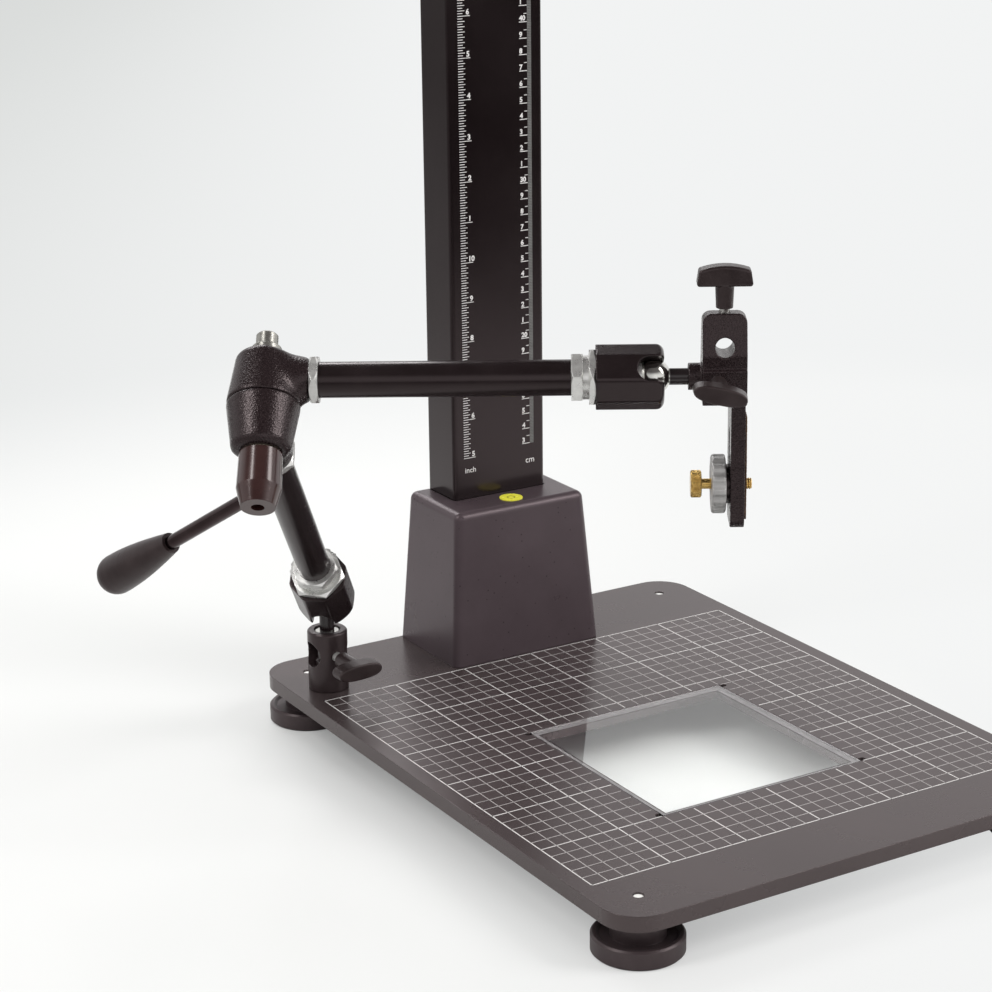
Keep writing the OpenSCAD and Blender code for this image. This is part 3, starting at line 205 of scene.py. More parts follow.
# Painted reflection: glossy rays see the floor near black in front of the stand and to its left.
painted_reflection_share = calculate(tree, "MULTIPLY", dark_reflection_reach, path.outputs["Is Glossy Ray"])
tree.links.new(mix_colours(tree, painted_reflection_share, shade, painted_dark_reflection), shader.inputs["Base Color"])
# Painted light: for the lens the floor glows. The glow lifts the board's shadow more on the right than on the
# left and not at all under the window, and far off the floor glows as a backdrop.
distance = measure(tree, "LENGTH", place)
under = measure(tree, "DISTANCE", place, shadow_middle)
sideways = measure(tree, "DOT_PRODUCT", place, rightward)
shadow_lifting_glow = calculate(tree, "MULTIPLY", eased_share(tree, sideways, -0.24, 0.22, 0.22, 0.80),
                   eased_share(tree, under, 0.085, 0.20))
painted_glow_share = calculate(tree, "MAXIMUM", shadow_lifting_glow, eased_share(tree, distance, 0.45, 1.15))
painted_glow_seen = calculate(tree, "MULTIPLY", painted_glow_share, seen_directly(path))
painted_backdrop_shade = mix_colours(tree, eased_share(tree, sideways, -1.3, -0.1), backdrop_shaded_left, backdrop_lit_right)
backdrop = add_node(tree, "ShaderNodeEmission", {"Color": painted_backdrop_shade})
blend_in = add_node(tree, "ShaderNodeMixShader", {0: painted_glow_seen, 1: shader.outputs[0],
                                                  2: backdrop.outputs[0]})
tree.links.new(blend_in.outputs[0], tree.nodes["Material Output"].inputs["Surface"])
bm = bmesh.new()
bmesh.ops.create_grid(bm, x_segments=1, y_segments=1, size=sweep_reach,
                      matrix=Matrix.Translation((0, 0, floor_z)))
sweep = make_piece("floor", bm, paper)


# Baseboard: a 9 mm laminated board in warm anthracite lacquer with its long
# edges chamfered, faintly speckled, and lying on four screwed feet.
def finish(name, tones, cloud, gloss, grain, depth, metal=0.0, coat=0.0, edge=0.0004,
           tint=(1.0, 0.86, 0.87), speck=None, pebbled=False, drawn=None):
    """A finish whose colour and gloss wander between their two ends in clouds of a given scale.

    Its grain, of a given scale, stands depth metres high, pebbled or drawn out along the height,
    its edges are eased by edge metres, and specks are (scale, size, colour)."""
    made = bpy.data.materials.new(name)
    made.use_nodes = True
    tree = made.node_tree
    shader = tree.nodes["Principled BSDF"]
    shader.inputs["Metallic"].default_value = metal
    shader.inputs["Coat Weight"].default_value = coat
    shader.inputs["Coat Roughness"].default_value = 0.12
    if not metal:
        shader.inputs["Specular Tint"].default_value = (*tint, 1)
    place = add_node(tree, "ShaderNodeTexCoord").outputs["Object"]
    clouds = add_node(tree, "ShaderNodeTexNoise", {"Vector": place, "Scale": cloud, "Detail": 6,
                                                   "Roughness": 0.6}).outputs["Fac"]
    colour = ramp(tree, clouds, ((0.35, tones[0]), (0.65, tones[1])))
    if speck:
        scale, size, tone = speck
        dust = add_node(tree, "ShaderNodeTexVoronoi", {"Vector": place, "Scale": scale})
        spot = add_node(tree, "ShaderNodeMapRange", {"Value": dust.outputs["Distance"],
                                                     "From Min": size * 1.4, "From Max": size})
        colour = mix_colours(tree, spot.outputs[0], colour, (*tone, 1))
    tree.links.new(colour, shader.inputs["Base Color"])
    dullness = add_node(tree, "ShaderNodeMapRange", {"Value": clouds, "From Min": 0.3, "From Max": 0.7,
                                                     "To Min": gloss[0], "To Max": gloss[1]})
    tree.links.new(dullness.outputs[0], shader.inputs["Roughness"])
    if drawn:
        place = add_node(tree, "ShaderNodeMapping", {"Vector": place,
                                                     "Scale": (1, 1, drawn)}).outputs["Vector"]
    if pebbled:
        tooth = add_node(tree, "ShaderNodeTexVoronoi", {"Vector": place, "Scale": grain}, feature="SMOOTH_F1")
        height = tooth.outputs["Distance"]
    else:
        tooth = add_node(tree, "ShaderNodeTexNoise", {"Vector": place, "Scale": grain, "Detail": 3})
        height = tooth.outputs["Fac"]
    raised = add_node(tree, "ShaderNodeBump", {"Height": height, "Strength": 1.0, "Distance": depth})
    if edge:
        eased = add_node(tree, "ShaderNodeBevel", {"Radius": edge}, samples=4)
        tree.links.new(eased.outputs["Normal"], raised.inputs["Normal"])
    tree.links.new(raised.outputs["Normal"], shader.inputs["Normal"])
    return made


def coat_with(piece, material):
    """Gives a whole piece one finish."""
    piece.data.materials.clear()
    piece.data.materials.append(material)


def dress(material, *names):
    """Gives carried-over CAD nodes their finish."""
    for name in names:
        coat_with(cad[name], material)


lacquer = finish("anthracite_lacquer", ((0.038, 0.0285, 0.0290), (0.050, 0.0385, 0.0390)), 7, (0.24, 0.31),
                 1600, 0.000006, edge=0.0008, speck=(260, 0.05, (0.02, 0.016, 0.017)))
lacquer.node_tree.nodes["Principled BSDF"].inputs["IOR"].default_value = 1.58
dress(lacquer, "baseboard")

# Printed grid: one-centimetre squares screened on the board in pale grey ink,
# every fifth line heavier, left open over the window and its corner notches.
lines = bpy.data.node_groups.new("ruled_lines", "GeometryNodeTree")
for label, kind in (("Geometry", "Geometry"), ("Start", "Vector"), ("Step", "Vector"), ("Count", "Int"),
                    ("Stroke", "Vector"), ("Ink", "Material")):
    lines.interface.new_socket(label, in_out="INPUT", socket_type="NodeSocket" + kind)
lines.interface.new_socket("Geometry", in_out="OUTPUT", socket_type="NodeSocketGeometry")
given = add_node(lines, "NodeGroupInput").outputs
row = add_node(lines, "GeometryNodeMeshLine", {"Start Location": given["Start"], "Offset": given["Step"],
                                               "Count": given["Count"]}, mode="OFFSET")
stroke = add_node(lines, "GeometryNodeMeshCube", {"Size": given["Stroke"]})
placed = add_node(lines, "GeometryNodeInstanceOnPoints", {"Points": row.outputs["Mesh"],
                                                          "Instance": stroke.outputs["Mesh"]})
real = add_node(lines, "GeometryNodeRealizeInstances", {"Geometry": placed.outputs["Instances"]})
inked = add_node(lines, "GeometryNodeSetMaterial", {"Geometry": real.outputs["Geometry"],
                                                    "Material": given["Ink"]})
joined = add_node(lines, "GeometryNodeJoinGeometry", {"Geometry": inked.outputs["Geometry"]})
lines.links.new(given["Geometry"], joined.inputs["Geometry"])
add_node(lines, "NodeGroupOutput", {"Geometry": joined.outputs["Geometry"]})
line_sockets = {s.name: s.identifier for s in lines.interface.items_tree if s.in_out == "INPUT"}


def plain_mesh(piece):
    """What a piece's modifiers or its type make of it, as a plain mesh."""
    return bpy.data.meshes.new_from_object(piece.evaluated_get(bpy.context.evaluated_depsgraph_get()))


def settle(piece):
    """Puts what a piece's modifiers make of it in place of its mesh."""
    made = plain_mesh(piece)
    piece.modifiers.clear()
    piece.data = made


def print_lines(name, ink, rows):
    """Prints rows of strokes, each row (start, step, count, stroke size), as one thin layer of ink."""
    layer = bpy.data.objects.new(name, bpy.data.meshes.new(name))
    scene.collection.objects.link(layer)
    for start, step, count, size in rows:
        ruled = layer.modifiers.new("rows", "NODES")
        ruled.node_group = lines
        ruled[line_sockets["Start"]] = start
        ruled[line_sockets["Step"]] = step
        ruled[line_sockets["Count"]] = count
        ruled[line_sockets["Stroke"]] = size
        ruled[line_sockets["Ink"]] = ink
    settle(layer)
    return layer


window_half = 0.0715
left, right, front, back = -0.150, 0.150, -0.120, 0.180
square, squares, bold_every = 0.010, 30, 5
ink_height = 0.00004
grid_ink = finish("grid_ink", ((0.50, 0.48, 0.475), (0.60, 0.58, 0.575)), 60, (0.45, 0.6), 900, 0.00001)
bold_ink = finish("bold_ink", ((0.66, 0.65, 0.64), (0.78, 0.77, 0.76)), 60, (0.45, 0.6), 900, 0.00001)
for name, ink, wide, is_bold in (("grid_fine", grid_ink, 0.00046, False),
                                 ("grid_bold", bold_ink, 0.00075, True)):
    rows = []
    for i in range(squares + 1):
        if (i % bold_every == 0) != is_bold:
            continue
        x, y = left + i * square, front + i * square
        spans_y = [(front, back)] if abs(x) > window_half else [(front, -window_half), (window_half, back)]
        spans_x = [(left, right)] if abs(y) > window_half else [(left, -window_half), (window_half, right)]
        for a, b in spans_y:
            rows.append(((x, (a + b) / 2, ink_height / 2), (0, 0, 0), 1, (wide, b - a + wide, ink_height)))
        for a, b in spans_x:
            rows.append((((a + b) / 2, y, ink_height / 2), (0, 0, 0), 1, (b - a + wide, wide, ink_height)))
    grid = print_lines(name, ink, rows)
    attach(grid, "stand")

# Window: a loose pane of clear float glass with ground edges lying in its
# recess, flush with the board.
pane = bpy.data.materials.new("float_glass")
pane.use_nodes = True
tree = pane.node_tree
shader = tree.nodes["Principled BSDF"]
shader.inputs["Base Color"].default_value = (0.95, 0.955, 0.95, 1)
shader.inputs["Transmission Weight"].default_value = 1.0
shader.inputs["Roughness"].default_value = 0.0
shader.inputs["IOR"].default_value = 1.46
place = add_node(tree, "ShaderNodeTexCoord").outputs["Object"]
smear = add_node(tree, "ShaderNodeTexNoise", {"Vector": place, "Scale": 30})
wave = add_node(tree, "ShaderNodeBump", {"Height": smear.outputs["Fac"], "Distance": 0.000004})
tree.links.new(wave.outputs["Normal"], shader.inputs["Normal"])
clear = add_node(tree, "ShaderNodeBsdfTransparent", {"Color": (0.85, 0.855, 0.85, 1)})
path = add_node(tree, "ShaderNodeLightPath")
through = add_node(tree, "ShaderNodeMixShader", {0: path.outputs["Is Shadow Ray"], 1: shader.outputs[0],
                                                 2: clear.outputs[0]})
tree.links.new(through.outputs[0], tree.nodes["Material Output"].inputs["Surface"])
dress(pane, "glass_pane")


# Pane tape: a frame of thin pale cushioning tape stuck all round under the
# edge of the pane, so that the glass doesn't ring on the board.
def join_loops(bm, loops):
    """Skins a run of loops of corners, each to the next."""
    for low, high in zip(loops, loops[1:]):
        for t in range(len(low)):
            u = (t + 1) % len(low)
            bm.faces.new((low[t], low[u], high[u], high[t]))


tape_width = 0.0038
tape_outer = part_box("glass_pane")[1].x
tape_inner = tape_outer - tape_width
tape_low, tape_high = -0.00402, -0.00396
tape_finish = finish("pale_tape", ((0.22, 0.21, 0.215), (0.27, 0.26, 0.265)), 90, (0.5, 0.6), 900, 0.00001)
bm = bmesh.new()
loops = []
for half, z in ((tape_outer, tape_low), (tape_inner, tape_low),
                (tape_inner, tape_high), (tape_outer, tape_high)):
    loops.append([bm.verts.new((half * i, half * j, z)) for i, j in ((-1, -1), (1, -1), (1, 1), (-1, 1))])
join_loops(bm, loops + loops[:1])
bmesh.ops.recalc_face_normals(bm, faces=bm.faces)
tape = make_piece("pane_tape", bm, tape_finish)
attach(tape, "stand")

# Levelling feet: satin black moulded discs on zinc-plated studs that come up
# through the corners of the board. The hidden fixings are zinc-plated too.
feet = ("foot_front_left", "foot_front_right", "foot_back_left", "foot_back_right")
foot_black = finish("foot_black", ((0.030, 0.021, 0.023), (0.042, 0.031, 0.033)), 60, (0.34, 0.46),
                    1300, 0.00002, edge=0.0008)
dress(foot_black, *feet)
zinc = finish("zinc_plate", ((0.65, 0.65, 0.635), (0.80, 0.80, 0.78)), 180, (0.24, 0.36),
              900, 0.00001, metal=0.78)
dress(zinc, "foot_studs", "column_bolts", "plug_screws", "cover_screws", "socket_base_screw",
      "lower_push_rod", "upper_push_rod", "lower_cup", "upper_cup", "arm_bolts")


# Hole plugs: a pip pressed in over each stud's end, just below the board's face and rounded over at its rim,
# painted white as the glint on the stud's zinc end.
def turned(bm, point, way, stations, slices, radius, crown=0.0):
    """Adds a closed turned form about way through point, radius(s, t) at each station s and
    turn t from 0 to 1, with the centre of its far end crown metres beyond the rim."""
    side = way.orthogonal().normalized()
    other = way.cross(side)
    rings = []
    for s in stations:
        ring = []
        for k in range(slices):
            t = k / slices
            spoke = side * math.cos(t * math.tau) + other * math.sin(t * math.tau)
            ring.append(bm.verts.new(point + way * s + spoke * radius(s, t)))
        rings.append(ring)
    near = bm.verts.new(point + way * stations[0])
    far = bm.verts.new(point + way * (stations[-1] + crown))
    join_loops(bm, rings)
    for k in range(slices):
        n = (k + 1) % slices
        bm.faces.new((near, rings[0][n], rings[0][k]))
        bm.faces.new((far, rings[-1][k], rings[-1][n]))


plug_radius, plug_rounding, plug_slices = 0.00302, 0.0003, 32
plug_foot, plug_shoulder, plug_rim, plug_crown = -0.0030, -0.0011, -0.0008, 0.0001
# Painted glint: the pips' white stands in for light shining off the zinc stud ends.
painted_glint_white = finish("painted_glint_white", ((0.78, 0.78, 0.76), (0.86, 0.86, 0.84)), 200, (0.4, 0.5),
                     1200, 0.00001, tint=(1, 1, 1))


def plug_side(s, t):
    """The pip's straight side, drawn in at its rim."""
    return plug_radius - plug_rounding if s == plug_rim else plug_radius


bm = bmesh.new()
for foot in feet:
    x, y = turning[foot + "_turn"]["pos_m"][:2]
    turned(bm, Vector((x, y, 0)), Vector((0, 0, 1)), (plug_foot, plug_shoulder, plug_rim),
           plug_slices, plug_side, plug_crown)
bmesh.ops.recalc_face_normals(bm, faces=bm.faces)
plugs = make_piece("hole_plugs", bm, painted_glint_white)
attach(plugs, "stand")

# Column: a black anodised square tube with fine draw lines along its length,
# closed by a moulded cap, over a bare alloy plug in its foot.
anodised = finish("black_anodising", ((0.0065, 0.0044, 0.0048), (0.0095, 0.0068, 0.0072)), 14, (0.13, 0.20),
                  1500, 0.000005, edge=0.0010, tint=(1.0, 0.80, 0.83), drawn=0.004)
dress(anodised, "column", "carriage", "camera_arm")
satin_black = finish("satin_moulding", ((0.015, 0.0096, 0.0098), (0.025, 0.0172, 0.0174)), 80, (0.27, 0.40),
                     1300, 0.00008, edge=0.0005)
dress(satin_black, "column_cap", "lever_grip", "carriage_knob")
alloy = finish("bare_alloy", ((0.48, 0.48, 0.47), (0.62, 0.62, 0.61)), 90, (0.32, 0.45),
               800, 0.00002, metal=1.0)
dress(alloy, "column_plug")

# Scales: white figures and ticks printed on the column's front, centimetres
# on the right with a grey band of millimetre strokes, inches on the left.
scale_white = finish("scale_white", ((0.80, 0.79, 0.78), (0.90, 0.89, 0.88)), 120, (0.4, 0.55),
                     900, 0.00001)
band_grey = finish("scale_grey", ((0.16, 0.165, 0.16), (0.20, 0.205, 0.20)), 120, (0.4, 0.55),
                   900, 0.00001)
stroke_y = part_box("column")[0].y - ink_height / 2
scale_top, cm, inch = 0.590, 0.010, 0.0254
cm_first, cm_last = 13, round(scale_top / cm)
inch_first, inch_last = 5, int(scale_top / inch)
cm_count, inch_count = cm_last - cm_first, inch_last - inch_first
fine_tick, bold_tick, band_stroke, band_lift = 0.00046, 0.00052, 0.00082, 0.0002
band_x, cm_x, half_x = 0.02435, 0.01990, 0.02160
band_wide, cm_wide, half_wide = 0.0029, 0.0056, 0.0022
sixteenth_x, eighth_x, inch_x = -0.02490, -0.02420, -0.01990
sixteenth_wide, eighth_wide, inch_wide = 0.0036, 0.0050, 0.0040


def tick_row(x, z, step, count, wide, thick):
    """A row of ticks up the column's face, the first one centred at x, z."""
    return (x, stroke_y, z), (0, 0, step), count, (wide, ink_height, thick)


band = print_lines("scale_band", band_grey, [
    tick_row(band_x, cm_first * cm + band_lift, cm / 10, cm_count * 10 + 1, band_wide, band_stroke)])
ticks = print_lines("scale_ticks", scale_white, [
    tick_row(cm_x, cm_first * cm, cm, cm_count + 1, cm_wide, bold_tick),
    tick_row(half_x, cm_first * cm + cm / 2, cm, cm_count, half_wide, fine_tick),
    tick_row(sixteenth_x, inch_first * inch + inch / 16, inch / 8, inch_count * 8, sixteenth_wide, fine_tick),
    tick_row(eighth_x, inch_first * inch, inch / 8, inch_count * 8 + 1, eighth_wide, fine_tick),
    tick_row(inch_x, inch_first * inch, inch, inch_count + 1, inch_wide, fine_tick)])
capital_share, figure_lift, figure_bold, word_bold = 0.70, 0.0009, 0.00019, 0.00006
figures = []


def set_figure(words, x, z, tall, bold_by):
    """Sets one upright word or number on the column's face, its lower left corner at x, z."""
    type_face = bpy.data.curves.new("figure", "FONT")
    type_face.body = words
    type_face.size = tall / capital_share
    type_face.resolution_u = 4
    type_face.offset = bold_by
    type_face.extrude = ink_height / 2
    holder = bpy.data.objects.new("figure", type_face)
    scene.collection.objects.link(holder)
    word = plain_mesh(holder)
    bpy.data.objects.remove(holder)
    lowest = min(v.co.x for v in word.vertices)
    word.transform(Matrix.Translation((x - lowest, stroke_y, z)) @ Matrix.Rotation(math.pi / 2, 4, "X"))
    figures.append(word)


for first, last, step, x, x_of_one, tall in ((cm_first, cm_last, cm, 0.0172, 0.0179, 0.0030),
                                             (inch_first, inch_last, inch, -0.0207, -0.0203, 0.0032)):
    for n in range(first, last + 1):
        digits = str(n) if n % 10 == 0 else str(n % 10)
        set_figure(digits, x_of_one if n % 10 == 1 else x, n * step + figure_lift, tall, figure_bold)
set_figure("cm", 0.0196, 0.1168, 0.0040, word_bold)
set_figure("inch", -0.0259, 0.1172, 0.0035, word_bold)
bm = bmesh.new()
for word in figures:
    bm.from_mesh(word)
    bpy.data.meshes.remove(word)
bmesh.ops.remove_doubles(bm, verts=bm.verts, dist=0.000001)
numbers = make_piece("scale_figures", bm, scale_white)
for print_piece in (ticks, band, numbers):
    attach(print_piece, "stand")

# Cover: a moulded cowl over the column's foot, held by four screws from under
# the board and sprayed in a fine purplish brown-grey texture.
cowl = finish("cowl_paint", ((0.052, 0.038, 0.044), (0.066, 0.050, 0.057)), 18, (0.26, 0.34),
              2600, 0.00005, edge=0.0010, tint=(0.98, 0.82, 0.86), speck=(190, 0.075, (0.010, 0.007, 0.009)))
dress(cowl, "column_cover")

# Level: a bull's-eye spirit level pressed into the cover's top, bright yellow
# liquid under a clear lens, with a printed ring round the bubble.
yellow = finish("level_liquid", ((0.90, 0.85, 0.055), (0.97, 0.94, 0.10)), 300, (0.2, 0.3), 600, 0.00001)
dress(yellow, "level_case", "level_lens")
ring_ink = finish("level_ring_ink", ((0.16, 0.14, 0.012), (0.22, 0.20, 0.02)), 200, (0.3, 0.4),
                  700, 0.00001)
ring_inner, ring_outer, ring_thickness, ring_slices = 0.0021, 0.0027, 0.0001, 48
lens_low, lens_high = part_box("level_lens")
lens_centre = (lens_low + lens_high) / 2
ring_low, ring_high = lens_high.z - ring_thickness / 2, lens_high.z + ring_thickness / 2
bm = bmesh.new()
loops = []
for radius, z in ((ring_inner, ring_low), (ring_outer, ring_low),
                  (ring_outer, ring_high), (ring_inner, ring_high)):
    loop = []
    for k in range(ring_slices):
        turn = k * math.tau / ring_slices
        x, y = lens_centre.x + radius * math.cos(turn), lens_centre.y + radius * math.sin(turn)
        loop.append(bm.verts.new((x, y, z)))
    loops.append(loop)
join_loops(bm, loops + loops[:1])
bmesh.ops.recalc_face_normals(bm, faces=bm.faces)
ring = make_piece("level_ring", bm, ring_ink)
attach(ring, "stand")

# Arm castings: zinc castings in black crackle powder coat that sparkles. The
# two halves of the elbow meet in a fine groove, and each flows into its boot.
crackle = finish("crackle_coat", ((0.008, 0.0046, 0.0052), (0.022, 0.0140, 0.0152)), 1100, (0.17, 0.34),
                 1300, 0.00018, edge=0.0, tint=(0.85, 0.72, 0.73), pebbled=True)


def soften(node, voxel, passes, stops=()):
    """A cast or moulded copy of a CAD node, its edges eased all over by smoothing passes, and its
    bores closed by stops, each (start, end, radius)."""
    bm = bmesh.new()
    bm.from_mesh(cad[node].data)
    bmesh.ops.remove_doubles(bm, verts=bm.verts, dist=0.000002)
    for start, end, radius in stops:
        along = end - start
        turn = along.to_track_quat("Z", "Y").to_matrix().to_4x4()
        bmesh.ops.create_cone(bm, cap_ends=True, segments=48, radius1=radius, radius2=radius,
                              depth=along.length, matrix=Matrix.Translation((start + end) / 2) @ turn)
    rough = bpy.data.meshes.new(node + "_rough")
    bm.to_mesh(rough)
    bm.free()
    cast = bpy.data.objects.new(node + "_cast", rough)
    scene.collection.objects.link(cast)
    skin = cast.modifiers.new("skin", "REMESH")
    skin.mode, skin.voxel_size, skin.use_smooth_shade = "VOXEL", voxel, True
    eased = cast.modifiers.new("eased", "SMOOTH")
    eased.factor, eased.iterations = 0.5, passes
    settle(cast)
    for face in cast.data.polygons:
        face.use_smooth = True
    return cast


def fill_corner(cast, point, axis, toward, floor, near=0.0195, reach=0.0085, fade=0.003, passes=320):
    """Fills out the corner between a casting's barrel about axis through point and its boot, which
    points toward: reach either side of the radius near, from floor up the axis on."""
    group = cast.vertex_groups.new(name="corner")
    for v in cast.data.vertices:
        arm = v.co - point
        height = arm.dot(axis)
        radial = arm - axis * height
        away = abs(radial.length - near) / reach
        facing = min(max(radial.dot(toward) / radial.length / 0.5 - 0.1, 0), 1)
        kept = min(max((height - floor) / fade, 0), 1)
        if away < 1 and facing * kept > 0:
            group.add([v.index], (1 - away * away) * facing * kept, "REPLACE")
    filled = cast.modifiers.new("filled", "SMOOTH")
    filled.factor, filled.iterations, filled.vertex_group = 0.5, passes, "corner"
    settle(cast)
    cast.vertex_groups.clear()


elbow_axis = -Vector(turning["elbow"]["axis"])
upper_point = Vector(turning["elbow"]["pos_m"])
lower_point = Vector(turning["lock_lever_turn"]["pos_m"])
upper_way = Vector(turning["lock_wheel_turn"]["axis"])
lower_way = (Vector(turning["arm_swivel"]["pos_m"]) - lower_point).normalized()
elbow_groove, split, boot, boot_step = 0.0006, 0.0159, 0.0252, 0.0004
bolt_stop_radius, tube_stop_radius = 0.0122, 0.0106
coarse_voxel, fine_voxel = 0.0006, 0.0004
for node, body, point, way, outward, bore_end in (
        ("upper_casting", "upper_arm", upper_point, upper_way, elbow_axis, 0.011),
        ("lower_casting", "lower_arm", lower_point, lower_way, -elbow_axis, 0.010)):
    bolt_stop = (point - outward * (split - elbow_groove), point + outward * bore_end, bolt_stop_radius)
    tube_stop = (point, point + way * (boot - boot_step), tube_stop_radius)
    casting = soften(node, coarse_voxel, 3, (bolt_stop, tube_stop))
    fill_corner(casting, point, outward, way, elbow_groove - split)
    coat_with(casting, crackle)
    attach(casting, body)
    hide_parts(node)

# Socket and bracket: a finer, smoother coat on the clamp socket, and the same
# crackle on the L-shaped camera bracket, whose cast edges are rounded over.
fine_coat = finish("fine_coat", ((0.017, 0.0112, 0.0118), (0.026, 0.0178, 0.0186)), 90, (0.28, 0.38),
                   1700, 0.00005, edge=0.0, tint=(1, 0.86, 0.88), pebbled=True)
bracket_voxel = 0.0005
for node, body, voxel, material in (("arm_socket", "stand", fine_voxel, fine_coat),
                                    ("bracket", "camera_bracket", bracket_voxel, crackle)):
    casting = soften(node, voxel, 3)
    coat_with(casting, material)
    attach(casting, body)
    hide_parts(node)

# Arm tubes and ball housings: steel tube and machined housings in smoother,
# glossier black enamel.
enamel = finish("black_enamel", ((0.0070, 0.0042, 0.0046), (0.0110, 0.0072, 0.0078)), 40, (0.20, 0.28),
                1400, 0.00001, edge=0.0006, tint=(0.95, 0.79, 0.80))
dress(enamel, "lower_tube", "upper_tube", "wheel_washer")
for node, body in (("lower_housing", "lower_arm"), ("upper_housing", "upper_arm")):
    casting = soften(node, fine_voxel, 3)
    coat_with(casting, enamel)
    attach(casting, body)
    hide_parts(node)

# Nuts and collars: zinc plate gone slightly dull, its tone and gloss wandering a little in clouds. The
# elbow's bolt is darker, oiled steel.
dress(zinc, "lower_flange_nut", "lower_lock_nut", "upper_lock_nut", "upper_flange_nut", "lower_collar",
      "upper_collar")
oiled = finish("oiled_steel", ((0.30, 0.295, 0.27), (0.40, 0.395, 0.365)), 150, (0.24, 0.36),
               1000, 0.00001, metal=0.85)
dress(oiled, "centre_bolt")

# Clamping screws: a bright chromed screw under the T handle, and zinc-plated
# ones with the wing handles of the socket and the bracket.
chrome = finish("dulled_chrome", ((0.60, 0.60, 0.58), (0.72, 0.72, 0.69)), 90, (0.12, 0.20),
                900, 0.000002, metal=1.0)
dress(chrome, "t_screw")
dress(zinc, "socket_screw", "bracket_screw")

# Ball stems and spigot: bright turned steel, blackened beyond the ball on the stems. Below the rim the spigot
# is painted black as shade, where it lies deep in the socket.
blackening_and_shade = (0.018, 0.012, 0.013, 1)
bright_ball, dark_stem = 0.01035, 0.01075
spigot_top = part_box("lower_spigot")[1].z
# Painted shade: the spigot is black from just below its rim down into the socket.
bright_rim, shaded_spigot_from = spigot_top - 0.0024, spigot_top - 0.0030
for node, ball_centre, bright_to, dark_from in (
        ("lower_ball_stem", turning["arm_swivel"]["pos_m"], bright_ball, dark_stem),
        ("upper_ball_stem", turning["upper_ball_tilt"]["pos_m"], bright_ball, dark_stem),
        ("lower_spigot", None, bright_rim, shaded_spigot_from)):
    two_tone = finish(node + "_finish", ((0.58, 0.58, 0.55), (0.72, 0.72, 0.69)), 90, (0.12, 0.20),
                      900, 0.000002, metal=1.0, edge=0.0)
    tree = two_tone.node_tree
    shader = tree.nodes["Principled BSDF"]
    place = add_node(tree, "ShaderNodeTexCoord").outputs["Object"]
    if ball_centre:
        measured = measure(tree, "DISTANCE", place, ball_centre)
    else:
        measured = add_node(tree, "ShaderNodeSeparateXYZ", {0: place}).outputs["Z"]
    past = add_node(tree, "ShaderNodeMapRange", {"Value": measured, "From Min": bright_to,
                                                 "From Max": dark_from}).outputs[0]
    bare = shader.inputs["Base Color"].links[0].from_socket
    tree.links.new(mix_colours(tree, past, bare, blackening_and_shade), shader.inputs["Base Color"])
    tree.links.new(calculate(tree, "SUBTRACT", 1.0, past), shader.inputs["Metallic"])
    dress(two_tone, node)

# Wing and T handles: satin black mouldings with soft edges, moulded on the
# heads of the screws that they turn.
for node, body in (("socket_wing", "socket_clamp"), ("bracket_wing", "bracket_clamp"),
                   ("t_knob", "t_handle")):
    casting = soften(node, fine_voxel, 2)
    coat_with(casting, satin_black)
    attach(casting, body)
    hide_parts(node)

# Locking lever: a glossy dark brown phenolic cap on the elbow's bolt, a rod
# of blued steel, and a washer of cream nylon behind the cap.
phenolic = finish("brown_phenolic", ((0.028, 0.0105, 0.0098), (0.040, 0.0155, 0.014)), 50, (0.17, 0.24),
                  700, 0.000004, coat=0.4, edge=0.0006, tint=(1, 0.9, 0.9))
dress(phenolic, "lock_cap")
blued = finish("blued_steel", ((0.052, 0.036, 0.037), (0.074, 0.053, 0.054)), 60, (0.14, 0.22),
               1200, 0.000004, metal=1.0)
dress(blued, "lever_rod")
nylon = finish("cream_nylon", ((0.62, 0.55, 0.42), (0.74, 0.68, 0.54)), 90, (0.4, 0.5), 900, 0.00002)
dress(nylon, "friction_washer")

# Camera face: a strip of dark cork-rubber glued to the bracket's long leg,
# with a grain that pits its surface.
cork = finish("cork_rubber", ((0.040, 0.020, 0.011), (0.110, 0.058, 0.030)), 700, (0.7, 0.85), 1500, 0.0003,
              speck=(900, 0.12, (0.20, 0.12, 0.06)))
pit_depth, pit_scale = 0.0004, 900
pad = soften("camera_pad", fine_voxel, 1)
pad_normals = [v.normal.copy() for v in pad.data.vertices]
for v, outward in zip(pad.data.vertices, pad_normals):
    v.co -= outward * pit_depth * abs(noise.noise(v.co * pit_scale))
coat_with(pad, cork)
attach(pad, "camera_bracket")
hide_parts("camera_pad")

# Lock wheel: a scalloped wheel cast in bare grey zinc, which runs on the
# camera screw behind the bracket.
cast_grey = finish("cast_grey", ((0.38, 0.375, 0.37), (0.49, 0.485, 0.48)), 130, (0.38, 0.5),
                   1300, 0.00004, metal=0.6, edge=0.0)
wheel = soften("lock_wheel", fine_voxel, 4)
coat_with(wheel, cast_grey)
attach(wheel, "wheel")
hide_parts("lock_wheel")

# Thumb screws: turned brass with a cut thread and a diamond-knurled head. Each
# follows its plain CAD solid along its own axis, the thread cut into it.
brass = finish("turned_brass", ((0.62, 0.40, 0.115), (0.80, 0.56, 0.21)), 200, (0.20, 0.32),
               1500, 0.000004, metal=1.0, edge=0.0)
hair = 0.00002
thread_radius, thread_pitch, thread_depth, thread_steps = 0.003165, 0.00127, 0.00040, 14
shank_radius, shank_root, shank_slices, point_radius = 0.00288, 0.001, 48, 0.002675
knurl_depth, knurl_pitch, knurl_margin, knurl_start, tooth_slices = 0.00030, 0.00105, 0.0006, 0.0003, 6
head_chamfer, chamfer_length, chamfer_steps, face_steps, least_head = 0.0007, 0.0009, 4, 36, 0.006


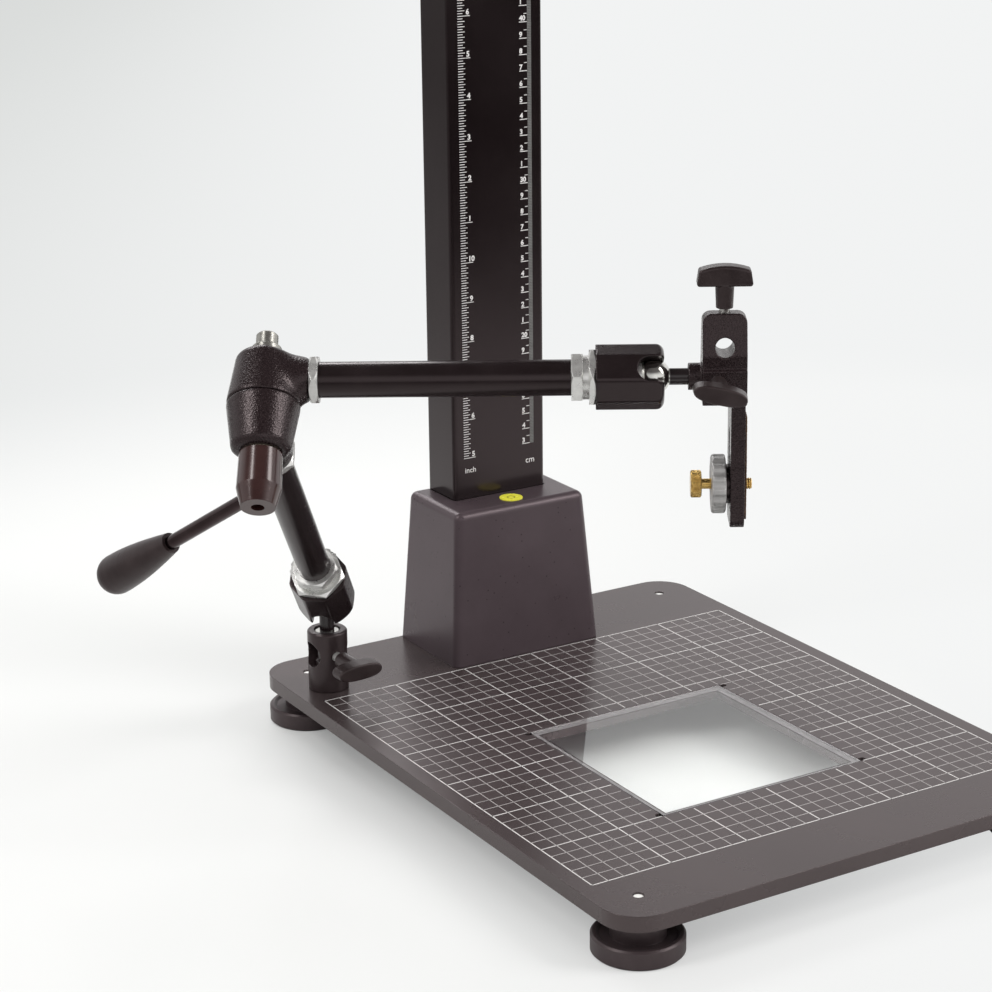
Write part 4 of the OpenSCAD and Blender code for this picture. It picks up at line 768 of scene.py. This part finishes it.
def zigzag(x):
    """A triangle wave of height 1 and length 1."""
    return abs(2 * (x - math.floor(x)) - 1)


def spread(start, end, count):
    """Evenly spaced stations from start to end."""
    return [start + (end - start) * k / count for k in range(count + 1)]


for node, body, joint, end, thread_from in (
        ("camera_screw", "thumb_screw", "camera_screw_turn", 0.0126, 0.0092),
        ("plate_camera_screw", "plate_screw", "plate_screw_turn", 0.0060, 0.0002)):
    point, way = Vector(turning[joint]["pos_m"]), Vector(turning[joint]["axis"])
    spots = []
    for v in cad[node].data.vertices:
        station = (v.co - point).dot(way)
        spots.append((station, ((v.co - point) - way * station).length))
    broad = max(r for s, r in spots) - hair
    head_start = min(s for s, r in spots)
    head_end = max(s for s, r in spots if r > least_head)
    teeth = round(math.tau * broad / knurl_pitch)

    def head(s, t):
        """The head's knurled face between two chamfers."""
        edge = min(s - head_start, head_end - s)
        diamond = zigzag(teeth * t + s / knurl_pitch) * zigzag(teeth * t - s / knurl_pitch)
        cut = min(max((edge - knurl_margin) / knurl_start, 0), 1)
        return broad - max(head_chamfer - edge, 0) - cut * knurl_depth * (1 - diamond) ** 1.5

    def shaft(s, t):
        """The relieved shank, then a quarter-inch thread and a chamfered end."""
        if s <= thread_from:
            return shank_radius
        groove = max(zigzag(s / thread_pitch - t) * 1.5 - 0.5, 0)
        return min(thread_radius - thread_depth * groove, point_radius + (end - s))

    face_start, face_end = head_start + chamfer_length, head_end - chamfer_length
    head_stations = (spread(head_start, face_start, chamfer_steps)[:-1]
                     + spread(face_start, face_end, face_steps)
                     + spread(face_end, head_end, chamfer_steps)[1:])
    thread_count = round((end - thread_from) / thread_pitch * thread_steps)
    thread_stations = spread(thread_from + hair, end, thread_count)
    bm = bmesh.new()
    turned(bm, point, way, head_stations, teeth * tooth_slices, head)
    turned(bm, point, way, [head_end - shank_root, thread_from] + thread_stations, shank_slices, shaft)
    bmesh.ops.recalc_face_normals(bm, faces=bm.faces)
    screw = make_piece(node + "_turned", bm, brass)
    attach(screw, body)
    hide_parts(node)
